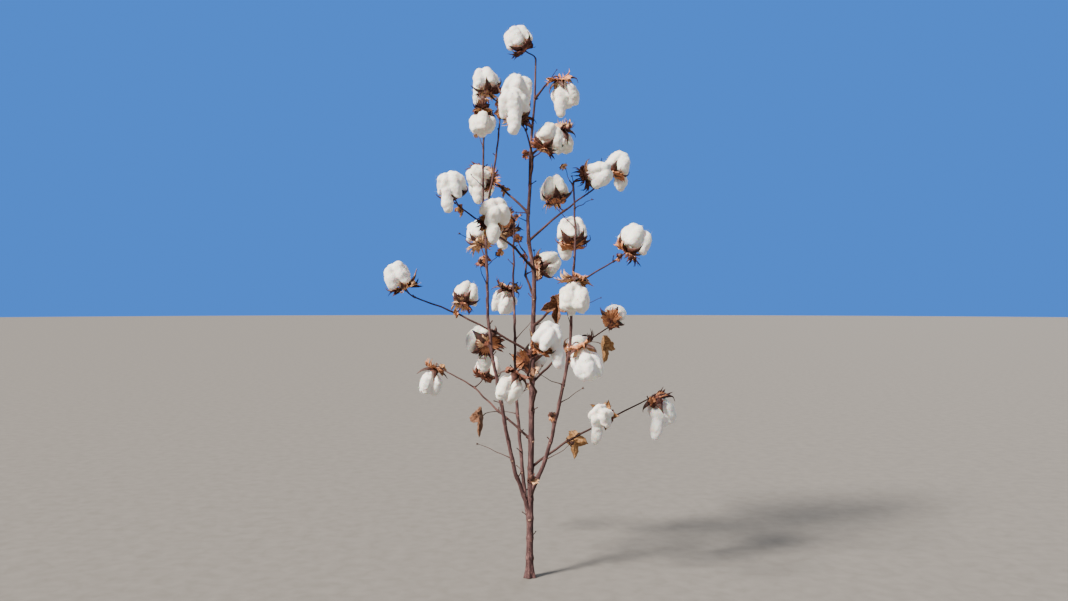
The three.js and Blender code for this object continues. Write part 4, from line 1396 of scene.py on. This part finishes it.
LINT_TINTS = [lint_finish("raw cotton lint, white", "E9E4DA", "F4F1EA", "FBF9F5"),
              lint_finish("raw cotton lint, creamy", "E2DBCB", "F1ECE0", "F9F6EE")]

# %% Overlapping balls for every lock
LOCK_REACH = 36
PUFF = (0.9, 1.08)
LINT_SAG = 5
LOCK_DROOP = (-2, 7)
HANG_STRETCH = 0.15
LOCK_HALF_WIDTHS = {4: 17.0, 5: 13.8}
LOCK_LEAN = (-3.5, 3.5)
# The middle and the half sizes of a lock's balls, outward, sideways and axially. Sideways, the middle is a
# share of the lock's lean, and the half size is a share of its half width.
LOCK_BALLS = (((18.5, 0, 30), (16, 1, 22)), ((14, 1, 45), (13, 0.8, 13)), ((24, -1, 20), (11.5, 0.8, 11)))
LOCK_ROOT = ((7, 0, 8), (7, 6, 10))
# A lump over a seed stands furthest out at one level, and less far above and below it.
SEED_LUMPS = 5
SEED_TURN = (-1.1, 1.1)
SEED_LEVEL = (14, 50)
SEED_RADIUS = (6.5, 9.5)
SEED_OUT = 27
SEED_OUT_LOSS = 0.018
SEED_OUTERMOST = 30
SEED_ASIDE = 0.58
SEED_STRETCH = 1.1
CORE_MIDDLE = (0, 0, 29)
CORE_HALF_SIZES = (13, 13, 21)
STRING_HALF_LENGTH = 30
STRING_SHARES = (0.12, 0.36, 0.62, 0.82, 1.0)
STRING_WIDTHS = (11.5, 11.5, 13.5, 15, 13)
STRING_WIDTH_CHANGE = (0.88, 1.12)
STRING_STRETCH = (1.1, 1.35)
STRING_FLATNESS = (0.9, 1.1)
STRING_DRIFT = 3


def on_lint(boll, angle, local, droop):
    """Points of the lint, which sags with its own lock and is drawn out where it hangs."""
    out = np.hypot(local[:, 0], local[:, 1]) / LOCK_REACH
    drawn = local * (1, 1, 1 + HANG_STRETCH * max(0.0, -boll.axis[2]))
    return on_boll(boll, angle, drawn) - UP * ((LINT_SAG + droop) * boll.size * out[:, None] ** 2)


def lock_balls(boll, i, draw):
    """The middles and half sizes of one lock's balls, outward, sideways and axially, at size 1."""
    puff = between(boll.number * KEYS_EACH + i, TRAIT.lock_puff, PUFF)
    wide, lean = LOCK_HALF_WIDTHS[boll.locks], draw.uniform(*LOCK_LEAN)
    balls = [((out, lean * aside, up), (deep, wide * broad, high))
             for (out, aside, up), (deep, broad, high) in LOCK_BALLS] + [LOCK_ROOT]
    for _ in range(SEED_LUMPS):
        turn, level = draw.uniform(*SEED_TURN), draw.uniform(*SEED_LEVEL)
        reach = SEED_OUT - SEED_OUT_LOSS * (level - SEED_OUTERMOST) ** 2
        radius = draw.uniform(*SEED_RADIUS)
        balls.append(((reach * math.cos(turn), SEED_ASIDE * wide * math.sin(turn), level),
                      (radius, radius, radius * SEED_STRETCH)))
    return [(np.array(middle) * (puff, 1, 1), np.array(half) * (puff, 1, 1)) for middle, half in balls]


def string_balls(boll, pile, draw):
    """The puffs of a lock that hangs out of its boll: slim at the top, and broadest near its end."""
    top = lock_middle(boll, boll.strung)
    drop = (STRING_DROP + STRING_HALF_LENGTH) * boll.size
    drift = np.zeros(3)
    for share, wide in zip(STRING_SHARES, STRING_WIDTHS):
        drift = drift + np.array((*draw.uniform(-STRING_DRIFT, STRING_DRIFT, 2), 0))
        wide *= boll.size * draw.uniform(*STRING_WIDTH_CHANGE)
        high = wide * draw.uniform(*STRING_STRETCH)
        lump(pile, top + drift - UP * (drop - high) * share, np.eye(3),
             (wide * draw.uniform(*STRING_FLATNESS), wide, high))


def lint_pile(group):
    """The overlapping balls of the lint of some bolls."""
    pile = Pile()
    for boll in group:
        draw = dice("lint", boll.number)
        pile.add(on_lint(boll, 0, CORE_MIDDLE + BALL_POINTS * CORE_HALF_SIZES, 0), BALL_FACES)
        for i in range(boll.locks):
            droop = draw.uniform(*LOCK_DROOP)
            for middle, half in lock_balls(boll, i, draw):
                pile.add(on_lint(boll, lock_angle(boll, i), middle + BALL_POINTS * half, droop), BALL_FACES)
        if boll.strung is not None:
            string_balls(boll, pile, draw)
    return pile


# %% A tree that raises puffs and tufts
def fluff_tree():
    tree, given = geometry_tree("raise puffs and tufts", {
        "Puff Size": 0.018, "Puff Depth": 0.004, "Tuft Size": 0.007, "Tuft Depth": 0.0014, "Material": None})
    position = add_node(tree, "GeometryNodeInputPosition")
    puffs, tufts = (noise_relief(tree, position, given[f"{kind} Size"], given[f"{kind} Depth"], detail=1.0,
                                 distortion=0.4) for kind in ("Puff", "Tuft"))
    height = add_node(tree, "ShaderNodeMath", {0: puffs, 1: tufts}, operation="ADD")
    return end_tree(tree, raise_along_normal(tree, given["Geometry"], height), given["Material"])


FLUFF_TREE = fluff_tree()
print("the fluff tree has", len(FLUFF_TREE.nodes), "nodes")

# %% Melt the balls into one skin for each third of the plant
THIRDS = ("low", "middle", "high")
LINT_VOXEL = 2.3
SMOOTHING = 0.5
SMOOTHING_PASSES = 3


def deal_by_boll(piece, group):
    """Give each face the tint of the boll that it belongs to."""
    middles = np.zeros(len(piece.data.polygons) * 3)
    piece.data.polygons.foreach_get("center", middles)
    middles = middles.reshape(-1, 3) / MM
    gaps = [np.linalg.norm(middles - heart_of(boll), axis=1) for boll in group]
    tints = np.array([boll.number % len(LINT_TINTS) for boll in group])
    piece.data.polygons.foreach_set("material_index", tints[np.argmin(gaps, axis=0)])


lint_pieces = []
by_height = sorted(bolls, key=lambda boll: boll.hub[2])
for i, title in enumerate(THIRDS):
    group = by_height[i * len(bolls) // len(THIRDS):(i + 1) * len(bolls) // len(THIRDS)]
    piece = lint_pile(group).piece(f"lint_{title}", [])
    union = piece.modifiers.new("union", "REMESH")
    union.mode = "VOXEL"
    union.voxel_size = LINT_VOXEL * MM
    soften = piece.modifiers.new("soften", "SMOOTH")
    soften.factor = SMOOTHING
    soften.iterations = SMOOTHING_PASSES
    grow(piece, FLUFF_TREE, material=LINT_TINTS[0])
    piece.data.materials.append(LINT_TINTS[1])
    deal_by_boll(piece, group)
    lint_pieces.append((piece, group))

# %% [markdown]
# ## Loose fibres and flecks of leaf
# Up close the lint has a halo of single fibres. Real ones are far too fine to show, so these are drawn as
# thick as a thread and far fewer. Crushed leaf sticks to the lint too, and peppers it with brown. Geometry
# Nodes scatter one bent fibre, which ends in a point, and one flat grain over the lint's skin.

# %% Scatter bent fibres and flat flecks over the lint
FIBRE_KNEE = (0.3, 0.0, 0.5)
FIBRE_TIP = (1.0, 0.25, 0.15)
FIBRE_STEPS = 2
FIBRE_SIDES = 3
FIBRE_SCALES = (0.5, 1.5)
FLECK_SHAPE = (1.0, 0.5, 0.2)
FLECK_SCALES = (0.5, 1.8)
TILT = 0.6


def fibre_tree():
    tree, given = geometry_tree("scatter loose fibres", {
        "Density": 17000.0, "Fibre Length": 0.0072, "Fibre Radius": 0.00008, "Material": None})
    knee, tip = (add_node(tree, "ShaderNodeVectorMath", {0: way, "Scale": given["Fibre Length"]},
                          operation="SCALE") for way in (FIBRE_KNEE, FIBRE_TIP))
    bent = add_node(tree, "GeometryNodeCurveQuadraticBezier", {
        "Resolution": FIBRE_STEPS, "Start": (0.0, 0.0, 0.0), "Middle": knee, "End": tip})
    section = add_node(tree, "GeometryNodeCurvePrimitiveCircle", {
        "Resolution": FIBRE_SIDES, "Radius": given["Fibre Radius"]})
    travelled = add_node(tree, "GeometryNodeSplineParameter")
    slimmed = add_node(tree, "ShaderNodeMath", {0: 1.0, 1: travelled}, operation="SUBTRACT")
    swept = add_node(tree, "GeometryNodeCurveToMesh", {
        "Curve": bent, "Profile Curve": section, "Scale": slimmed, "Fill Caps": True})
    fibre = add_node(tree, "GeometryNodeMergeByDistance", {"Geometry": swept, "Distance": SAME_POINT})
    fibres = scatter(tree, given["Geometry"], fibre, given["Density"], TILT, FIBRE_SCALES)
    return end_tree(tree, fibres, given["Material"])


def fleck_tree():
    tree, given = geometry_tree("scatter flecks of leaf", {
        "Density": 700.0, "Fleck Radius": 0.001, "Material": None})
    grain = add_node(tree, "GeometryNodeMeshIcoSphere", {"Radius": given["Fleck Radius"], "Subdivisions": 1})
    flat = add_node(tree, "GeometryNodeTransform", {"Geometry": grain, "Scale": FLECK_SHAPE})
    flecks = scatter(tree, given["Geometry"], flat, given["Density"], TILT, FLECK_SCALES)
    return end_tree(tree, flecks, given["Material"])


fibre_pieces, fleck_pieces = [], []
for kind, tree, material, pieces in (("fibres", fibre_tree(), LINT_TINTS[0], fibre_pieces),
                                     ("flecks", fleck_tree(), BRACT_TINTS[1], fleck_pieces)):
    for skin, group in lint_pieces:
        piece = place_in_scene(skin.name.replace("lint", kind), skin.data.copy())
        grow(piece, tree, material=material)
        pieces.append((piece, group))

# %% [markdown]
# ## Dead leaves
# The plant shed its leaves before the harvest, and a few dead ones still hang, folded and crumpled. Each is
# a sheet in rings round the end of its stalk. The outermost ring runs out to five lobes and back to the
# notches between them. The sheet folds towards its middle vein and along each lobe, curls at its ends, and
# crumples in sharp creases. Scraps of leaf that caught on the nodes are the same sheet, much smaller.

# %% Find where the dead leaves hang, at joints that lost their boll
LEAF_COUNT = 4
LEAF_MIDDLE = 20
LEAF_REACH = 38
LEAF_STALK = (30, 40)
LEAF_STALK_DROP = (2, 12)
LEAF_TWISTS = (90, -90, 60, -60, 120, -120, 150, -150)


def leaf_trial(number, seat, twist):
    out = heading(seat.azimuth + twist)
    hub = (seat.at + out * between(number, TRAIT.leaf_stalk, LEAF_STALK)
           - UP * between(number, TRAIT.leaf_stalk_drop, LEAF_STALK_DROP))
    ball = (hub - UP * LEAF_MIDDLE, LEAF_REACH)
    return SimpleNamespace(number=number, seat=seat, out=out, hub=hub, heart=ball, balls=[ball])


def place_leaves():
    placed = []
    for number, seat in enumerate(seat for limb in limbs for seat in limb.bare_seats):
        leaf = roomiest([leaf_trial(number, seat, twist) for twist in LEAF_TWISTS], bolls + placed)
        if leaf.room > 0 and len(placed) < LEAF_COUNT:
            leaf.node = f"dry_leaf_{len(placed) + 1}"
            placed.append(leaf)
    return placed


leaves = place_leaves()
print(len(leaves), "dead leaves")

# %% Fold and crumple a leaf
LEAF_CORNERS = 10
# How far the lobes reach: the middle one, the pair beside it and the last pair
LEAF_LOBES = (54, 42, 26)
LEAF_NOTCH = 21
LOBE_SPREAD = (0.85, 1.1)
LEAF_NARROWING = 0.75
LEAF_FOLD = 0.5
LOBE_FOLD = 7
LOBE_BENDS = (-5, 5)
LEAF_CURL = (4, 16)
EDGE_WEAR = 0.03
VEIN_DEPTH = 1.1
VEIN_WIDTH = 0.16
WAVE_SIZE = 15
CREASE_SIZE = 9
CREASE_SHARE = 0.9
CREASE_PHASE = 0.5


def leaf_sheet(leaf, size, kind, draw):
    """A dead leaf: five lobes, each folded along its vein, with the whole sheet curled and crumpled."""
    corners = np.arange(LEAF_CORNERS + 1)
    lobes = np.minimum(corners, LEAF_CORNERS - corners) // 2
    keys = leaf.number * KEYS_EACH + corners % LEAF_CORNERS
    lengths = [between(key, TRAIT.lobe_length, LOBE_SPREAD) for key in keys.tolist()]
    bends = [between(key, TRAIT.leaf_crumple, LOBE_BENDS) for key in keys.tolist()]
    lobe_reaches = np.array(LEAF_LOBES)[np.minimum(lobes, len(LEAF_LOBES) - 1)] * lengths
    reaches = np.where(corners % 2, LEAF_NOTCH, lobe_reaches)
    place = np.arange(kind.columns) * LEAF_CORNERS / kind.columns
    rim = np.interp(place, corners, reaches) * (1 + draw.normal(0, EDGE_WEAR, kind.columns))
    share = np.linspace(0, 1, kind.rows)[:, None]
    angle = FULL_TURN * place / LEAF_CORNERS
    across, down = rim * share * np.sin(angle), rim * share * np.cos(angle)
    lift = LEAF_FOLD * np.abs(across) + np.interp(place, corners, bends) * share
    lift += LOBE_FOLD * share * (1 - np.cos(np.pi * place)) / 2
    lift -= VEIN_DEPTH * share * swell_near((place + 1) % 2 - 1, VEIN_WIDTH)
    lift += draw.uniform(*LEAF_CURL) * (rim * share / LEAF_LOBES[0]) ** 2
    flat = size * np.stack([across * LEAF_NARROWING, lift, -down], axis=2).reshape(-1, 3)
    creases = CREASE_SHARE * np.abs(wavers(flat, CREASE_SIZE, leaf.number + CREASE_PHASE))
    crumpled = flat + kind.crumpling * (wavers(flat, WAVE_SIZE, leaf.number) + creases)
    return leaf.hub + crumpled @ np.array((np.cross(UP, leaf.out), leaf.out, UP))


# %% The dead leaves, and scraps of leaf that caught on the nodes
LEAF = SimpleNamespace(rows=10, columns=80, crumpling=4.0)
LEAF_WALL = 0.6
SCRAP = SimpleNamespace(rows=6, columns=40, crumpling=5.0)
SCRAP_COUNT = 22
SCRAP_SIZES = (0.2, 0.45)
SCRAP_TURNS = (40, 140)
SCRAP_GAP = (2, 5)
# Each leaf has a number that its traits are read by. Those of the scraps start here.
FIRST_SCRAP = 50

LEAF_TINTS = [dry_leaf_finish("dead leaf, tan", "62422A", "9A6F45", "C79C6C"),
              dry_leaf_finish("dead leaf, umber", "3E2A20", "6B4834", "977053")]
SCRAP_TINTS = LEAF_TINTS + BRACT_TINTS[:2]
leaf_pile, scrap_pile = Pile(), Pile()
for i, leaf in enumerate(leaves):
    leaf_pile.add(leaf_sheet(leaf, 1.0, LEAF, dice("leaves", i)),
                  grid_faces(LEAF.rows, LEAF.columns, closed=True), i % len(LEAF_TINTS))
dead_leaves = leaf_pile.piece("dead_leaves", LEAF_TINTS)
thicken(dead_leaves, LEAF_WALL)

seats = [seat for limb in limbs for seat in limb.seats + limb.bare_seats]
for i in range(SCRAP_COUNT):
    draw = dice("scraps", i)
    seat = seats[int(draw.integers(len(seats)))]
    out = heading(seat.azimuth - seat.side * draw.uniform(*SCRAP_TURNS))
    scrap = SimpleNamespace(number=FIRST_SCRAP + i, out=out, hub=seat.at + out * draw.uniform(*SCRAP_GAP))
    scrap_pile.add(leaf_sheet(scrap, draw.uniform(*SCRAP_SIZES), SCRAP, draw),
                   grid_faces(SCRAP.rows, SCRAP.columns, closed=True), int(draw.integers(len(SCRAP_TINTS))))
leaf_scraps = scrap_pile.piece("leaf_scraps", SCRAP_TINTS)
thicken(leaf_scraps, LEAF_WALL)

# %% The stalks of the dead leaves
LEAF_STALK_RADIUS = 1.4
LEAF_STALK_SHARES = np.linspace(0, 1, 20)
STALK_SLIMMING = 0.5


def leaf_stalk_strand(leaf):
    elbow = np.array((*leaf.hub[:2], leaf.seat.at[2]))
    corners = [bend(leaf.seat.at, elbow, leaf.hub, share) for share in LEAF_STALK_SHARES]
    path, along = even_path(corners, THIN_STEP)
    girth = LEAF_STALK_RADIUS - STALK_SLIMMING * np.sin(np.pi * along / along[-1])
    return SimpleNamespace(path=path, girth=girth, along=along)


leaf_stalks = strands_mesh("leaf_stalks", [leaf_stalk_strand(leaf) for leaf in leaves])
grow(leaf_stalks, BARK_TREE, **THIN_BARK)

# %% [markdown]
# ## Which piece stands for which solid
# The plant has no joints, so all of it rides on one body. Each solid is hidden, and the piece that stands
# for it is named. The scenery is only a floor, so that the plant can be looked at from every side.

# %% Hand each piece to the frame
handed = {
    "bark": [(stem_bark, [stem]), (side_stem_bark, side_stems), (branch_bark, branches), (stalk_bark, bolls),
             (scars, [stem, *side_stems])],
    "bur": [(burs, bolls), (dead_buds, branches)],
    "dry_leaf": [(bracts, bolls), (collars, bolls), (dead_leaves, leaves), (leaf_stalks, leaves),
                 (leaf_scraps, branches), *fleck_pieces],
    "lint": lint_pieces + fibre_pieces,
}
for limb in limbs:
    limb.node = limb.name
for slot, pieces in handed.items():
    for piece, sources in pieces:
        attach(piece, "root")
        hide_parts(*[source.node for source in sources])
total = sum(triangles(piece) for pieces in handed.values() for piece, _ in pieces)
print("the plant has", total, "triangles in", sum(map(len, handed.values())), "pieces")

# %% [markdown]
# ## Floor, light and camera
# White lint needs shade to show its form. A strong warm key light from the front left models the bolls. A
# weak fill opens the shadows on the right, and a light from behind draws a bright rim. The camera sees the
# world as a clear blue sky, and the plant gets a much paler light from it, as in a studio with a backdrop.
# The floor is a light grey, so that the lint still stands out from it. It is round, and so looks the same
# from every side. The camera is level, as in the field, and far enough back to hold the whole plant.

# %% A plain grey floor
FLOOR_RADIUS = 40.0
FLOOR_CORNERS = 180
FLOOR_DROP = 1.0
# Smooth concrete, matt: an even grey with faint clouds.
FLOOR_FINISH = natural_finish("smooth concrete floor", ((0.3, "6C6863"), (0.7, "75716C")),
                              (pattern(40, 40, 40),), Roughness=0.9, Specular_IOR_Level=0.2)

floor_pile = Pile()
turns = np.linspace(0, 360, FLOOR_CORNERS, endpoint=False)
floor_pile.add(np.array([heading(turn) * FLOOR_RADIUS / MM - UP * FLOOR_DROP for turn in turns]),
               [list(range(FLOOR_CORNERS))])
floor = floor_pile.piece("floor", [FLOOR_FINISH])
floor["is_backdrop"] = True
print("the floor is", round(2 * FLOOR_RADIUS), "m wide")

# %% Three soft lights and a sky
LIGHTS = (
    SimpleNamespace(name="key light", place=(-2.6, -1.9, 3.3), tint="FFF6EA", strength=12.0, spread=0.2),
    SimpleNamespace(name="fill light", place=(2.4, -2.4, 1.6), tint="FFFFFF", strength=0.5, spread=1.2),
    SimpleNamespace(name="rim light", place=(1.4, 2.6, 2.4), tint="FFFFFF", strength=1.4, spread=0.5),
)
SKY = "3E82E8"
SKY_STRENGTH = 1.1
SKY_LIGHT = "A3B7D2"
SKY_LIGHT_STRENGTH = 0.5

middle = (Vector(cad_low) + Vector(cad_high)) / 2
for plan in LIGHTS:
    light = bpy.data.lights.new(plan.name, "SUN")
    light.energy = plan.strength
    light.angle = plan.spread
    light.color = srgb(plan.tint)[:3]
    lamp = bpy.data.objects.new(plan.name, light)
    bpy.context.scene.collection.objects.link(lamp)
    lamp.location = plan.place
    lamp.rotation_euler = (middle - lamp.location).to_track_quat("-Z", "Y").to_euler()
world = bpy.data.worlds.new("clear sky")
world.use_nodes = True
tree = world.node_tree
tree.nodes.clear()
seen = add_node(tree, "ShaderNodeBackground", {"Color": srgb(SKY), "Strength": SKY_STRENGTH})
felt = add_node(tree, "ShaderNodeBackground", {"Color": srgb(SKY_LIGHT), "Strength": SKY_LIGHT_STRENGTH})
to_camera = add_node(tree, "ShaderNodeLightPath").outputs["Is Camera Ray"]
add_node(tree, "ShaderNodeOutputWorld", {
    "Surface": add_node(tree, "ShaderNodeMixShader", {0: to_camera, 1: felt, 2: seen})})
bpy.context.scene.world = world
print(len(LIGHTS), "lights")

# %% A level camera that holds the whole plant
IMAGE_WIDTH, IMAGE_HEIGHT = 1068, 601
SENSOR_WIDTH = 36.0
LENS = 31.2
FILLED_HEIGHT = 0.92

view = bpy.data.cameras.new("camera")
view.sensor_width = SENSOR_WIDTH
view.lens = LENS
height_at_a_metre = SENSOR_WIDTH / LENS * IMAGE_HEIGHT / IMAGE_WIDTH
distance = (cad_high[2] - cad_low[2]) / FILLED_HEIGHT / height_at_a_metre
camera = bpy.data.objects.new("camera", view)
bpy.context.scene.collection.objects.link(camera)
camera.location = (middle.x, -distance, middle.z)
camera.rotation_euler = (math.pi / 2, 0, 0)
bpy.context.scene.camera = camera
print("the camera stands", round(distance, 2), "m from the stem")

# %% Compare the two boxes
ALLOWED_SHARE = 0.03
ALLOWED_MARGIN = 0.01

new_low, new_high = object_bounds()
allowed = [ALLOWED_SHARE * (high - low) + ALLOWED_MARGIN for low, high in zip(cad_low, cad_high)]
over = [max(cad_low[i] - new_low[i], new_high[i] - cad_high[i]) for i in range(3)]
print("the looks stand proud by", [round(value / MM, 1) for value in over], "mm of",
      [round(value / MM, 1) for value in allowed])
